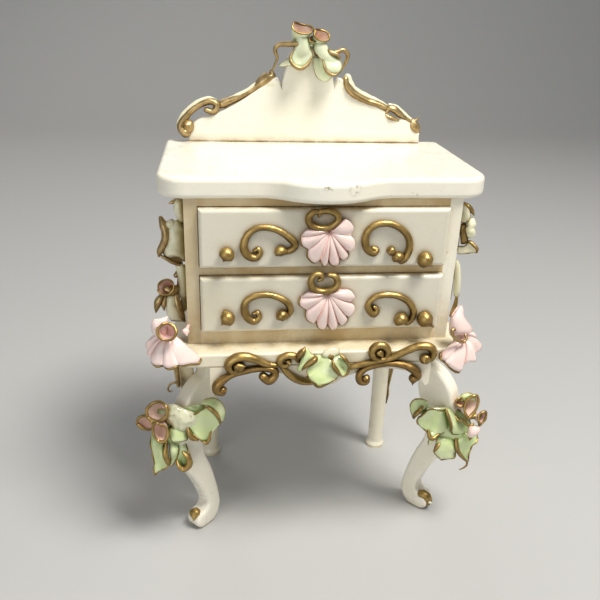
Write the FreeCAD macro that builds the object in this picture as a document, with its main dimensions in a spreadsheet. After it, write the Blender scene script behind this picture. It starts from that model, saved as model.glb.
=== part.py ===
# Miniature chest of drawers, dolls house scale (1:12), in millimetres.
# Frame: origin on the floor under the middle of the chest, front towards -Y, +Z up.
# Wooden boards and drawers are sketched or boxed; the modelled trim (gilt ropes, shells,
# roses and leaves) is made of swept, turned and extruded solids.
import FreeCAD, Part
import math
import os
import re
import Sketcher
from FreeCAD import Placement, Rotation, Vector

doc = FreeCAD.newDocument("MiniatureChest")
sheet = doc.addObject("Spreadsheet::Sheet", "Dimensions")
pieces = []

# ---------------------------------------------------------------- driving dimensions
DIMENSIONS = [
    ("front_plane", -11.9, "front face of the carcass, along Y"),
    ("carcass_half", 24.45, "half width of the carcass"),
    ("carcass_depth", 29.5, "front face to the back of the carcass"),
    ("panel", 2.3, "thickness of the side boards"),
    ("back_board", 1.9, "thickness of the back board"),
    ("base_top", 44.95, "height of the base board's upper face"),
    ("base_thick", 2.6, "thickness of the base board"),
    ("base_half", 27.5, "half width of the base board"),
    ("base_overhang", 4.5, "how far the base board stands in front of the carcass"),
    ("base_corner", 4.0, "radius of the base board's front corners"),
    ("base_edge", 0.4, "rounding of the base board's edges"),
    ("top_under", 72.5, "height of the top board's underside"),
    ("top_thick", 3.7, "thickness of the top board"),
    ("top_half", 29.0, "half width of the top board"),
    ("top_back", 32.3, "back edge of the top board, behind the carcass front"),
    ("top_front", -0.9, "straight front of the top board, from the carcass front"),
    ("top_bow", 4.6, "how far the bowed middle of the top stands forward"),
    ("bow_radius", 13.0, "radius of the top's bowed middle"),
    ("hollow_radius", 7.5, "radius of the hollow beside the bow"),
    ("top_corner", 4.9, "radius of the top's front corners"),
    ("top_back_corner", 1.6, "radius of the top's back corners"),
    ("top_edge", 0.9, "rounding of the top board's edges"),
    ("gallery_thick", 2.6, "thickness of the shaped back gallery"),
    ("gallery_half", 24.2, "half width of the gallery at the top board"),
    ("gallery_rise", 18.9, "height of the gallery above the top board"),
    ("gap", 0.15, "running clearance round each drawer"),
    ("drawer_half", 22.0, "half width of a drawer front"),
    ("drawer_proud", 1.5, "how far a drawer front stands out of the carcass"),
    ("front_thick", 3.0, "thickness of a drawer front"),
    ("front_edge", 0.7, "rounding of a drawer front's edges"),
    ("drawer_wall", 1.5, "thickness of a drawer's sides and back"),
    ("drawer_floor", 1.2, "thickness of a drawer's bottom"),
    ("drawer_depth", 25.0, "length of a drawer's sides"),
    ("drawer_rise", 8.6, "height of a drawer's sides"),
    ("lower_bottom", 47.85, "underside of the lower drawer"),
    ("lower_height", 10.65, "height of the lower drawer front"),
    ("upper_bottom", 60.3, "underside of the upper drawer"),
    ("upper_height", 10.7, "height of the upper drawer front"),
    ("apron_thick", 1.8, "thickness of the apron below the base board"),
    ("apron_half", 20.6, "half width of the apron"),
    ("leg_thick", 3.6, "thickness of the sawn front legs"),
    ("leg_left", 26.4, "x + y offset of the left front leg's diagonal plane"),
    ("leg_right", 30.6, "x + y offset of the right front leg's diagonal plane"),
    ("knee_reach", 20.5, "how far the knee stands out along the diagonal"),
    ("rear_left", 21.4, "left rear leg, distance from the middle"),
    ("rear_right", 20.2, "right rear leg, distance from the middle"),
    ("rear_line", 28.0, "rear legs' line, behind the carcass front"),
    ("rear_radius", 2.05, "rear leg's radius at the top"),
    ("rope", 0.58, "radius of the gilt scrolls"),
    ("tendril", 0.4, "radius of the thin gilt tendrils"),
    ("ribbon", 0.95, "radius of the thick gilt ribbon on the gallery"),
    ("ribbon_end", 0.58, "radius of the gallery's thinner ribbons"),
    ("bead", 1.55, "radius of the gilt beads on the drawers"),
    ("petal", 0.4, "wall of the roses"),
    ("stalk", 0.7, "radius of the roses' stalks"),
    ("leaf", 0.7, "thickness of the leaves"),
    ("shell", 1.1, "thickness of the shells"),
]


def fill_sheet():
    for row, (alias, value, note) in enumerate(DIMENSIONS, start=1):
        sheet.set(f"A{row}", alias)
        sheet.set(f"B{row}", str(value))
        sheet.set(f"C{row}", note)
        sheet.setAlias(f"B{row}", alias)
    doc.recompute()


def size(alias):
    """Value of one driving dimension."""
    return float(sheet.get(alias))


def bind(item, prop, formula):
    """Ties a property to a formula written with the sheet's aliases."""
    item.setExpression(prop, re.sub(r"[a-z_]+", lambda word: "Dimensions." + word.group(), formula))


def place(item, corner):
    """Binds an object's position to three formulas."""
    for axis, formula in zip("xyz", corner):
        bind(item, "Placement.Base." + axis, formula)


# ---------------------------------------------------------------- boards
def board(label, corner, lengths):
    """A plain sawn board: its lowest corner and its three lengths, as formulas."""
    box = doc.addObject("Part::Box", label)
    for prop, formula in zip(("Length", "Width", "Height"), lengths):
        bind(box, prop, formula)
    place(box, corner)
    pieces.append(box)
    return box


def outline_sketch(body, plane, outline):
    """Closed outline in a body's origin plane. A step is (x, y) for a straight line, or
    (x_mid, y_mid, x, y) for an arc through its middle point."""
    sketch = body.newObject("Sketcher::SketchObject", body.Name + "_outline")
    role = [feature for feature in body.Origin.OriginFeatures if feature.Role == plane][0]
    sketch.AttachmentSupport = [(role, "")]
    sketch.MapMode = "FlatFace"
    start = Vector(*outline[-1][-2:], 0)
    for step in outline:
        end = Vector(*step[-2:], 0)
        if len(step) == 4:
            sketch.addGeometry(Part.Arc(start, Vector(*step[:2], 0), end), False)
        else:
            sketch.addGeometry(Part.LineSegment(start, end), False)
        start = end
    return sketch


def plate(label, plane, outline, thick, midplane=False):
    """A board cut to an outline: a sketch and a pad."""
    body = doc.addObject("PartDesign::Body", label)
    sketch = outline_sketch(body, plane, outline)
    pad = body.newObject("PartDesign::Pad", label + "_pad")
    pad.Profile = sketch
    if midplane:
        pad.Midplane = True
    bind(pad, "Length", thick)
    doc.recompute()
    pieces.append(body)
    return body


def soften(body, radius, axis, *levels):
    """Rounds the edges that lie flat at one of the levels along an axis."""
    names = []
    for number, edge in enumerate(body.Shape.Edges, start=1):
        low, high = getattr(edge.BoundBox, axis + "Min"), getattr(edge.BoundBox, axis + "Max")
        if any(abs(low - level) < 0.01 and abs(high - level) < 0.01 for level in levels):
            names.append(f"Edge{number}")
    sharp = body.Tip
    fillet = body.newObject("PartDesign::Fillet", body.Name + "_rounding")
    fillet.Base = (sharp, names)
    bind(fillet, "Radius", radius)
    doc.recompute()


def mirrored(half):
    """Whole outline from its right half, which starts and ends on the middle line.
    A straight step is (x, y), an arc step (x_mid, y_mid, x, y)."""
    whole = list(half[1:])
    for index in range(len(half) - 1, 0, -1):
        step, before = half[index], half[index - 1]
        target = (-before[-2], before[-1])
        whole.append((-step[0], step[1]) + target if len(step) == 4 else target)
    return whole


def build_carcass():
    inner = "2 * (carcass_half - panel)"
    depth = "carcass_depth - back_board"
    wall_height = "top_under - base_top"
    board("side_panel_left", ("-carcass_half", "front_plane", "base_top"),
          ("panel", "carcass_depth", wall_height))
    board("side_panel_right", ("carcass_half - panel", "front_plane", "base_top"),
          ("panel", "carcass_depth", wall_height))
    board("back_panel", ("panel - carcass_half", "front_plane + carcass_depth - back_board", "base_top"),
          (inner, "back_board", wall_height))
    board("carcass_floor", ("panel - carcass_half", "front_plane", "base_top"),
          (inner, depth, "lower_bottom - gap - base_top"))
    board("drawer_divider", ("panel - carcass_half", "front_plane", "lower_bottom + lower_height + gap"),
          (inner, depth, "upper_bottom - lower_bottom - lower_height - 2 * gap"))
    board("top_rail", ("panel - carcass_half", "front_plane", "upper_bottom + upper_height + gap"),
          (inner, "panel", "top_under - upper_bottom - upper_height - gap"))


def corner(x, y, radius, forward):
    """Arc step round a right-angled corner at (x, y): from the front line to the side, or from
    the side to the back line."""
    bend = radius * (1 - math.sqrt(0.5))
    if forward:
        return (x - bend, y + bend, x, y + radius)
    return (x - bend, y - bend, x - radius, y)


def build_top_board():
    """Serpentine front: a bowed middle that meets the straight front in a hollow curve."""
    half, back, bow = size("top_half"), size("top_back"), size("top_bow")
    front, bow_radius, hollow_radius = size("top_front"), size("bow_radius"), size("hollow_radius")
    centres = bow_radius + hollow_radius
    rise = centres - (bow + front)
    hollow_x = math.sqrt(centres ** 2 - rise ** 2)
    meet = bow_radius / centres
    meet_x, meet_y = meet * hollow_x, bow_radius - bow - meet * rise
    half_turn = math.asin(hollow_x / centres) / 2
    outline = mirrored([
        (0, -bow),
        (bow_radius * math.sin(half_turn), bow_radius * (1 - math.cos(half_turn)) - bow, meet_x, meet_y),
        (hollow_x - hollow_radius * math.sin(half_turn),
         front - hollow_radius * (1 - math.cos(half_turn)), hollow_x, front),
        (half - size("top_corner"), front),
        corner(half, front, size("top_corner"), True),
        (half, back - size("top_back_corner")),
        corner(half, back, size("top_back_corner"), False),
        (0, back),
    ])
    body = plate("top_board", "XY_Plane", outline, "top_thick")
    soften(body, "top_edge", "Z", 0, size("top_thick"))
    place(body, ("0", "front_plane", "top_under"))


def build_gallery():
    half, rise = size("gallery_half"), size("gallery_rise")
    outline = mirrored([
        (0, 0),
        (half, 0),
        (half, 2.8),
        (half - 1.8, 4.3, half - 4.6, 5.3),
        (14.2, 7.9, 8.8, 11.6),
        (7.6, 12.6, 6.2, 12.9),
        (5.8, 12.2),
        (5.5, 10.7),
        (5.1, 12.8),
        (4.2, 16.6),
        (3.0, rise - 0.9, 0, rise),
    ])
    body = plate("backsplash", "XZ_Plane", outline, "gallery_thick")
    place(body, ("0", "front_plane + top_back", "top_under + top_thick"))


def build_base():
    half, front, bend = size("base_half"), -size("base_overhang"), size("base_corner")
    outline = mirrored([
        (0, front),
        (half - bend, front),
        corner(half, front, bend, True),
        (half, size("carcass_depth") + 1.2),
        (0, size("carcass_depth") + 1.2),
    ])
    body = plate("base_board", "XY_Plane", outline, "base_thick")
    soften(body, "base_edge", "Z", 0, size("base_thick"))
    place(body, ("0", "front_plane", "base_top - base_thick"))


def build_apron():
    """Fretted apron: an arch on each side of a middle drop."""
    half = size("apron_half")
    outline = mirrored([
        (0, -4.6),
        (2.2, -4.2, 3.6, -3.2),
        (11.5, -1.2, 18.6, -3.0),
        (19.3, -4.2, half - 0.6, -5.2),
        (half, -4.8),
        (half, 0),
        (0, 0),
    ])
    body = plate("front_apron", "XZ_Plane", outline, "apron_thick")
    place(body, ("0", "front_plane + apron_thick - base_overhang", "base_top - base_thick"))


# ---------------------------------------------------------------- legs
def leg_outline():
    """Cabriole leg in its own plane: distance out along the diagonal, height."""
    top, knee = size("base_top") - size("base_thick"), size("knee_reach")
    return [
        (13.1, top),
        (13.2, 36.2),
        (knee - 3.2, 34.0, knee - 1.0, 30.2),
        (knee, 24.6, knee - 1.3, 17.2),
        (16.1, 11.9, 13.7, 5.6),
        (14.3, 4.2, 15.5, 3.9),
        (16.9, 2.3, 15.3, 0),
        (12.4, 0),
        (10.7, 1.9, 10.2, 5.0),
        (11.3, 10.6, 14.0, 18.2),
        (14.2, 22.6, 12.6, 26.4),
        (11.5, 29.8, 11.1, 34.0),
        (11.1, top),
    ]


def build_front_leg(label, side, offset):
    """Sawn leg standing in a vertical plane at 45 degrees under a front corner."""
    body = plate(label, "XZ_Plane", leg_outline(), "leg_thick", midplane=True)
    body.Placement = Placement(Vector(), Rotation(Vector(0, 0, 1), -45 if side > 0 else -135))
    sign = "" if side > 0 else "-"
    place(body, (f"{sign}{offset} / 2", f"front_plane + {offset} / 2", "0"))


def build_rear_leg(label, side, offset):
    """Turned dowel with a small spread foot."""
    top, radius = size("base_top") - size("base_thick"), size("rear_radius")
    body = doc.addObject("PartDesign::Body", label)
    outline = [(0, 0), (radius + 0.15, 0), (radius + 0.2, 0.8), (radius - 0.25, 1.6), (radius, top), (0, top)]
    sketch = outline_sketch(body, "XZ_Plane", outline)
    turned = body.newObject("PartDesign::Revolution", label + "_turned")
    turned.Profile = sketch
    turned.ReferenceAxis = (sketch, ["V_Axis"])
    turned.Angle = 360
    doc.recompute()
    place(body, (offset if side > 0 else "-" + offset, "front_plane + rear_line", "0"))
    pieces.append(body)


def leg_point(side, offset, reach, height):
    """A point of a front leg's middle plane, measured from the carcass front."""
    along = reach * math.sqrt(0.5)
    return Vector(side * (offset / 2 + along), offset / 2 - along, height)


# ---------------------------------------------------------------- drawers
def build_drawer(name):
    """Drawer front, two sides, bottom and back, each its own board."""
    bottom, height = name + "_bottom", name + "_height"
    body = doc.addObject("PartDesign::Body", name + "_drawer_front")
    half, tall = size("drawer_half"), size(height)
    sketch = outline_sketch(body, "XZ_Plane", [(half, 0), (half, tall), (-half, tall), (-half, 0)])
    for line in range(4):
        sketch.addConstraint(Sketcher.Constraint("Coincident", line, 2, (line + 1) % 4, 1))
    for line in (1, 3):
        sketch.addConstraint(Sketcher.Constraint("Vertical", line))
    sketch.addConstraint(Sketcher.Constraint("Horizontal", 2))
    sketch.addConstraint(Sketcher.Constraint("Symmetric", 0, 1, 0, 2, -2))
    sketch.addConstraint(Sketcher.Constraint("PointOnObject", 0, 1, -1))
    wide = sketch.addConstraint(Sketcher.Constraint("DistanceX", 0, 1, 0, 2, 2 * half))
    high = sketch.addConstraint(Sketcher.Constraint("DistanceY", 1, 1, 1, 2, tall))
    bind(sketch, f"Constraints[{wide}]", "2 * drawer_half")
    bind(sketch, f"Constraints[{high}]", height)
    pad = body.newObject("PartDesign::Pad", body.Name + "_pad")
    pad.Profile = sketch
    bind(pad, "Length", "front_thick")
    doc.recompute()
    soften(body, "front_edge", "Y", -size("front_thick"))
    place(body, ("0", "front_plane + front_thick - drawer_proud", bottom))
    pieces.append(body)

    behind = "front_plane + front_thick - drawer_proud"
    outer = "(drawer_half - gap)"
    between = f"2 * ({outer} - drawer_wall)"
    board(name + "_drawer_side_left", (f"-{outer}", behind, bottom),
          ("drawer_wall", "drawer_depth", "drawer_rise"))
    board(name + "_drawer_side_right", (f"{outer} - drawer_wall", behind, bottom),
          ("drawer_wall", "drawer_depth", "drawer_rise"))
    board(name + "_drawer_floor", (f"drawer_wall - {outer}", behind, bottom),
          (between, "drawer_depth", "drawer_floor"))
    board(name + "_drawer_back",
          (f"drawer_wall - {outer}", f"{behind} + drawer_depth - drawer_wall", f"{bottom} + drawer_floor"),
          (between, "drawer_wall", "drawer_rise - drawer_floor"))


# ---------------------------------------------------------------- modelled trim
def arc_chain(points, heading):
    """Tangent arcs through points of an XZ plane, leaving the first at a heading in degrees."""
    edges = []
    length = 0.0
    across = Vector(math.cos(math.radians(heading)), 0, math.sin(math.radians(heading)))
    for start, end in zip(points, points[1:]):
        chord = end - start
        unit = chord / chord.Length
        bulge = math.atan2(unit.x * across.z - unit.z * across.x, across.dot(unit))
        if abs(bulge) < 0.01:
            edges.append(Part.LineSegment(start, end).toShape())
        else:
            side = Vector(-unit.z, 0, unit.x)
            middle = (start + end) / 2 + side * (chord.Length / 2 * math.tan(bulge / 2))
            edges.append(Part.Arc(start, middle, end).toShape())
        length += edges[-1].Length
        across = unit * (2 * across.dot(unit)) - across
    return Part.Wire(edges), length, across


def rope(points, heading, depth, radius):
    """Round rope laid along tangent arcs in the plane y = depth, closed with round ends."""
    route = [Vector(x, depth, z) for x, z in points]
    wire, length, last = arc_chain(route, heading)
    first = Vector(math.cos(math.radians(heading)), 0, math.sin(math.radians(heading)))
    section = Part.Wire(Part.makeCircle(radius, route[0], first))
    tube = wire.makePipeShell([section], True, False)
    expected = math.pi * radius ** 2 * length
    if abs(tube.Volume / expected - 1) > 0.02:
        raise RuntimeError(f"rope from {points[0]}: volume {tube.Volume:.2f}, expected {expected:.2f}")
    for end in (route[0], route[-1]):
        tube = tube.fuse(Part.makeSphere(radius, end))
    return tube.removeSplitter()


def ball(x, depth, z, radius):
    return Part.makeSphere(radius, Vector(x, depth, z))


def join(first, *others):
    return first.fuse(list(others)).removeSplitter() if others else first


def flat_back(shape, depth):
    """Cuts off what lies behind the plane y = depth, so trim sits flat on its board."""
    box = shape.BoundBox
    behind = Part.makeBox(box.XLength + 2, 50, box.ZLength + 2, Vector(box.XMin - 1, depth, box.ZMin - 1))
    return shape.cut(behind)


def turned_to(shape, centre, direction):
    """Moves a shape made along +Z to a centre and a direction."""
    shape.Placement = Placement(Vector(*centre), Rotation(Vector(0, 0, 1), Vector(*direction)))
    return shape


def cup(centre, direction, rim, depth):
    """Open rose: a turned cup whose mouth faces the direction, centred on its rim."""
    wall = size("petal")
    inner = rim - wall
    foot = 0.45 * rim
    edges = [
        Part.LineSegment(Vector(0, 0, -depth), Vector(foot, 0, -depth)).toShape(),
        Part.Arc(Vector(foot, 0, -depth), Vector(rim * 0.9, 0, -depth * 0.55), Vector(rim, 0, 0)).toShape(),
        Part.LineSegment(Vector(rim, 0, 0), Vector(inner, 0, 0)).toShape(),
        Part.Arc(Vector(inner, 0, 0), Vector(inner * 0.86, 0, -depth * 0.5),
                 Vector(inner * 0.3, 0, wall - depth)).toShape(),
        Part.LineSegment(Vector(inner * 0.3, 0, wall - depth), Vector(0, 0, wall - depth)).toShape(),
        Part.LineSegment(Vector(0, 0, wall - depth), Vector(0, 0, -depth)).toShape(),
    ]
    solid = Part.Face(Part.Wire(edges)).revolve(Vector(), Vector(0, 0, 1), 360)
    return turned_to(solid, centre, direction)


def rose(centre, direction, rim, depth, root):
    """Rose cup on a short stalk that runs from inside its base to its root."""
    wall = size("petal")
    start = Vector(*centre) - Vector(*direction).normalize() * (depth - wall / 2)
    run = Vector(*root) - start
    stalk = Part.makeCylinder(size("stalk"), run.Length, start, run)
    return join(cup(centre, direction, rim, depth), stalk)


def framed(shape, origin, along, facing):
    """Moves a flat shape, drawn along +X and thick along Z, to an origin and two directions."""
    ahead = Vector(*along).normalize()
    side = Vector(*facing).cross(ahead).normalize()
    normal = ahead.cross(side)
    matrix = FreeCAD.Matrix(ahead.x, side.x, normal.x, origin[0], ahead.y, side.y, normal.y, origin[1],
                            ahead.z, side.z, normal.z, origin[2], 0, 0, 0, 1)
    shape.Placement = Placement(matrix)
    return shape


def leaf(stalk, tip, width, facing):
    """Pointed leaf plate from its stalk to its tip, facing a direction."""
    thick = size("leaf")
    back = -thick / 2
    along = Vector(*tip) - Vector(*stalk)
    start, end = Vector(0, 0, back), Vector(along.Length, 0, back)
    edges = [
        Part.Arc(start, Vector(along.Length / 2, width / 2, back), end).toShape(),
        Part.Arc(end, Vector(along.Length / 2, -width / 2, back), start).toShape(),
    ]
    blade = Part.Face(Part.Wire(edges)).extrude(Vector(0, 0, thick))
    return framed(blade, stalk, along, facing)


def fan(hinge, rim, facing, spread, lobes):
    """Shell plate: a fan from its hinge to a scalloped rim, spread in degrees."""
    thick = size("shell")
    back = -thick / 2
    along = Vector(*rim) - Vector(*hinge)
    reach = along.Length
    notch_reach = 0.9 * reach
    root = 0.12 * reach
    angles = [math.radians(spread * (index / lobes - 0.5)) for index in range(lobes + 1)]
    notch = [Vector(notch_reach * math.cos(turn), notch_reach * math.sin(turn), back) for turn in angles]
    first = Vector(0, -root, back)
    last = Vector(0, root, back)
    edges = [Part.LineSegment(first, notch[0]).toShape()]
    for turn, next_turn, start, end in zip(angles, angles[1:], notch, notch[1:]):
        middle = (turn + next_turn) / 2
        crown = Vector(reach * math.cos(middle), reach * math.sin(middle), back)
        edges.append(Part.Arc(start, crown, end).toShape())
    edges.append(Part.LineSegment(notch[-1], last).toShape())
    edges.append(Part.LineSegment(last, first).toShape())
    blade = Part.Face(Part.Wire(edges)).extrude(Vector(0, 0, thick))
    return framed(blade, hinge, along, facing)


def trim(label, *shapes):
    """Keeps trim, drawn from the carcass front, as one object of one or more solids."""
    item = doc.addObject("Part::Feature", label)
    item.Shape = Part.makeCompound(list(shapes))
    item.Placement = Placement(Vector(0, size("front_plane"), 0), Rotation())
    pieces.append(item)
    return item


# ---------------------------------------------------------------- drawer trim
def drawer_scroll(label, points, heading, end_ball):
    """C-scroll laid on a drawer front, with a ball rolled at its outer end."""
    face = -size("drawer_proud")
    radius = size("rope")
    laid = rope(points, heading, face - 0.8 * radius, radius)
    x, z, ball_radius = end_ball
    end = ball(x, face - 0.75 * ball_radius, z, ball_radius)
    trim(label, flat_back(join(laid, end), face))


def drawer_beads(label, *centres):
    face = -size("drawer_proud")
    radius = size("bead")
    beads = [flat_back(ball(x, face - 0.6 * radius, z, radius), face) for x, z in centres]
    trim(label, *beads)


def pull_ring(label, x, z, half_length, half_height):
    """Oval ring standing on a short stub in front of the drawer."""
    face = -size("drawer_proud")
    radius = size("rope")
    depth = face - 1.0
    straight = half_length - half_height
    upper_left = Vector(x - straight, depth, z + half_height)
    upper_right = Vector(x + straight, depth, z + half_height)
    lower_left = Vector(x - straight, depth, z - half_height)
    lower_right = Vector(x + straight, depth, z - half_height)
    run = [
        Part.LineSegment(upper_left, upper_right),
        Part.Arc(upper_right, Vector(x + half_length, depth, z), lower_right),
        Part.LineSegment(lower_right, lower_left),
        Part.Arc(lower_left, Vector(x - half_length, depth, z), upper_left),
    ]
    wire = Part.Wire([curve.toShape() for curve in run])
    section = Part.Wire(Part.makeCircle(radius, upper_left, Vector(1, 0, 0)))
    ring = wire.makePipeShell([section], True, False)
    stub = Part.makeCylinder(radius * 0.9, 1.0, Vector(x - half_length, face - 1.0, z), Vector(0, 1, 0))
    trim(label, join(ring, stub))


def pull_shell(label, x, hinge, rim):
    face = -size("drawer_proud")
    middle = face - size("shell") / 2
    trim(label, fan((x, middle, hinge), (x, middle, rim), (0, -1, 0), 130, 5))


def build_drawer_trim():
    drawer_scroll("upper_scroll_left",
                  [(-11.8, 63.7), (-12.7, 62.7), (-14.3, 63.7), (-14.2, 65.8), (-12.8, 67.3), (-10.5, 67.8),
                   (-8.0, 67.1), (-6.2, 65.7), (-5.8, 64.3), (-6.8, 63.3)], -60, (-7.9, 63.6, 1.15))
    drawer_scroll("upper_scroll_right",
                  [(8.9, 64.2), (8.1, 63.4), (6.9, 64.2), (6.6, 66.0), (7.9, 68.0), (10.3, 68.6),
                   (12.7, 67.9), (14.6, 65.9), (15.0, 63.6), (14.0, 61.7)], -90, (12.8, 62.0, 1.25))
    drawer_scroll("lower_scroll_left",
                  [(-11.7, 51.8), (-12.5, 50.6), (-13.9, 51.2), (-14.4, 53.0), (-12.9, 55.0), (-10.6, 55.4),
                   (-8.2, 54.9), (-6.4, 53.5), (-5.9, 51.8), (-6.6, 50.7)], -60, (-7.6, 51.3, 1.25))
    drawer_scroll("lower_scroll_right",
                  [(10.0, 52.4), (9.9, 51.4), (8.9, 51.5), (8.4, 53.0), (9.6, 54.8), (12.0, 55.2),
                   (14.4, 54.6), (16.5, 52.6), (17.0, 50.6), (16.0, 49.4)], -70, (14.7, 50.1, 1.4))
    drawer_beads("upper_beads", (-17.3, 63.2), (17.9, 61.9))
    drawer_beads("lower_beads", (-17.5, 51.2), (19.1, 50.2))
    pull_ring("upper_pull_ring", -0.7, 69.3, 2.6, 1.4)
    pull_ring("lower_pull_ring", -0.1, 57.85, 2.6, 1.5)
    pull_shell("upper_pull_shell", -0.1, 67.3, 61.2)
    pull_shell("lower_pull_shell", 0.5, 55.7, 48.75)


# ---------------------------------------------------------------- cabinet trim
def build_apron_trim():
    """Gilt scrolls and a green bow laid on the base board and apron."""
    face = -size("base_overhang")
    depth = face - 0.75 * size("rope")
    radius = size("rope")
    left = rope([(-15.4, 42.6), (-16.9, 43.9), (-16.2, 45.5), (-14.6, 46.0), (-12.5, 45.4), (-11.0, 44.5),
                 (-9.4, 44.2)], 180, depth, radius)
    trim("apron_upper_scroll_left", flat_back(join(left, ball(-14.9, face - 0.9, 43.5, 1.15)), face))
    right = rope([(3.8, 42.2), (7.2, 42.9), (10.6, 43.9), (13.4, 45.3), (16.5, 46.4), (18.8, 46.2),
                  (20.2, 44.8), (19.3, 43.2)], 5, depth, radius)
    trim("apron_upper_scroll_right", flat_back(join(right, ball(18.0, face - 0.9, 43.6, 1.15)), face))
    left = rope([(-19.6, 39.6), (-20.6, 40.6), (-18.6, 42.3), (-15.8, 43.0), (-13.0, 43.2), (-10.9, 42.4),
                 (-10.6, 41.0), (-12.0, 40.7)], 150, depth, radius)
    trim("apron_lower_scroll_left", flat_back(join(left, ball(-19.2, face - 0.7, 39.8, 0.9)), face))
    right = rope([(7.6, 38.7), (6.3, 39.6), (7.2, 41.4), (9.8, 42.4), (12.6, 42.6), (15.6, 41.9),
                  (17.6, 40.2), (17.5, 38.2)], 180, depth, radius)
    trim("apron_lower_scroll_right", flat_back(join(right, ball(8.1, face - 0.7, 39.2, 0.9)), face))
    rings = [
        rope([(-7.3, 44.0), (-8.7, 43.5), (-9.6, 44.8), (-8.3, 46.1), (-6.6, 45.6)], 200, depth, radius),
        rope([(-8.5, 42.2), (-6.4, 40.4), (-3.6, 39.4), (-1.5, 39.2)], -60, depth, radius),
        rope([(10.9, 44.9), (11.4, 46.1), (10.1, 47.2), (8.7, 46.4), (8.6, 45.0)], 60, depth, radius),
    ]
    trim("apron_coils", *[flat_back(ring, face) for ring in rings])
    front = face - 1.6
    knot = flat_back(ball(-0.8, face - 0.9, 43.8, 1.7), face)
    trim("apron_bow",
         join(knot,
              leaf((-0.6, front, 43.6), (-6.6, front - 0.6, 46.8), 3.6, (0.1, -1, 0.2)),
              leaf((0.4, front, 43.4), (5.0, front - 0.4, 43.6), 3.8, (0, -1, 0.2)),
              leaf((-0.9, front - 0.9, 45.2), (-1.0, front - 1.4, 38.5), 6.4, (0, -1, 0.1))))


def build_corner_trim():
    """A pleated shell over each front corner of the base board."""
    trim("corner_shell_left",
         fan((-25.6, -1.6, 49.6), (-28.4, -5.4, 42.6), (-0.45, -0.6, 0.6), 120, 5))
    trim("corner_shell_right",
         join(fan((25.4, -1.6, 49.0), (27.2, -5.2, 40.2), (0.45, -0.6, 0.5), 110, 5),
              leaf((25.4, -2.0, 47.6), (25.6, -2.6, 52.8), 3.2, (0.2, -1, 0.1))))
    trim("corner_rose_left",
         rose((-28.1, -6.0, 50.4), (-0.25, -0.85, 0.45), 1.6, 2.2, (-26.6, -2.6, 48.2)))
    trim("corner_curl_right",
         rope([(26.6, 45.4), (25.3, 46.4), (26.2, 47.9), (27.8, 46.9)], 190, -4.6,
              size("tendril")))


def build_side_trim():
    """Leaves and a rose down each side board."""
    wall = size("carcass_half") - 0.2
    trim("side_leaves_left",
         leaf((-wall, 10, 63.5), (-27.9, 7.5, 69.4), 3.6, (-0.5, -0.8, 0.2)),
         leaf((-wall, 10, 65.0), (-29.8, 6.5, 60.6), 4.2, (-0.3, -0.9, 0.3)),
         leaf((-wall, 9, 54.0), (-30.6, 6.0, 48.4), 3.8, (-0.5, -0.8, 0.2)),
         leaf((-wall, 12, 53.5), (-25.9, 10, 46.4), 3.4, (-0.9, -0.4, 0.1)))
    trim("side_rose_left",
         rose((-29.0, 6.6, 54.4), (-0.75, -0.6, 0.3), 1.7, 2.6, (-wall, 9.6, 53.2)))
    trim("side_leaves_right",
         leaf((wall, 10, 63.5), (30.2, 7.0, 67.6), 3.6, (0.4, -0.9, 0.2)),
         leaf((wall, 10, 62.0), (30.8, 7.0, 63.2), 4.6, (0.3, -0.9, 0.3)),
         leaf((wall, 9, 60.0), (32.4, 7.0, 59.6), 3.0, (0.1, -0.5, 0.9)),
         leaf((wall, 9, 58.5), (29.0, 7.0, 48.8), 3.4, (0.8, -0.6, 0.1)))


def build_leg_trim():
    """Roses and leaves wrapped round each knee."""
    trim("leg_roses_left",
         rose((-30.4, -5.6, 34.6), (-0.40, -0.80, 0.40), 1.9, 2.8, (-25.6, 0.8, 32.0)),
         rose((-32.5, -4.9, 31.2), (-0.75, -0.60, 0.15), 1.7, 2.6, (-26.3, 0.1, 30.5)),
         rose((-30.1, -6.9, 29.9), (-0.20, -0.95, 0.10), 1.6, 2.6, (-26.5, -0.1, 29.5)))
    trim("leg_roses_right",
         rose((30.6, -4.6, 32.6), (0.35, -0.85, 0.35), 1.9, 2.8, (27.7, 2.9, 31.6)),
         rose((32.6, -3.9, 29.0), (0.80, -0.50, 0.30), 1.2, 2.0, (28.4, 2.2, 28.6)),
         rose((31.0, -5.9, 26.6), (0.30, -0.90, -0.20), 1.4, 2.2, (28.4, 2.2, 27.2)))
    trim("leg_leaves_left",
         leaf((-24.4, 0.4, 31.6), (-18.6, -4.4, 31.6), 6.6, (0.3, -0.9, 0.2)),
         leaf((-29.6, -4.2, 29.6), (-31.8, -5.2, 19.8), 4.2, (-0.5, -0.8, 0.2)),
         leaf((-26.6, -1.0, 28.6), (-25.4, -5.0, 21.2), 3.8, (-0.2, -0.9, 0.2)))
    trim("leg_leaves_right",
         leaf((25.7, 2.1, 31.0), (18.0, -3.4, 31.0), 6.6, (-0.2, -0.9, 0.2)),
         leaf((28.6, 0.6, 27.6), (26.0, -4.4, 18.4), 5.0, (-0.1, -0.9, 0.2)),
         leaf((29.2, 0.4, 27.6), (31.2, -4.6, 17.8), 4.4, (0.4, -0.9, 0.1)))
    beads = []
    for side, offset in ((-1, size("leg_left")), (1, size("leg_right"))):
        centre = leg_point(side, offset, 16.0, 3.4)
        beads.append(Part.makeSphere(1.25, centre))
    trim("toe_beads", *beads)
    line = size("rear_line")
    trim("rear_leg_leaves",
         leaf((-size("rear_left") - 2.3, line, 41.6), (-size("rear_left") - 2.1, line, 10), 2.6, (-1, 0, 0)),
         leaf((size("rear_right") + 2.3, line, 41.6), (size("rear_right") + 2.1, line, 10), 2.6, (1, 0, 0)))


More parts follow.
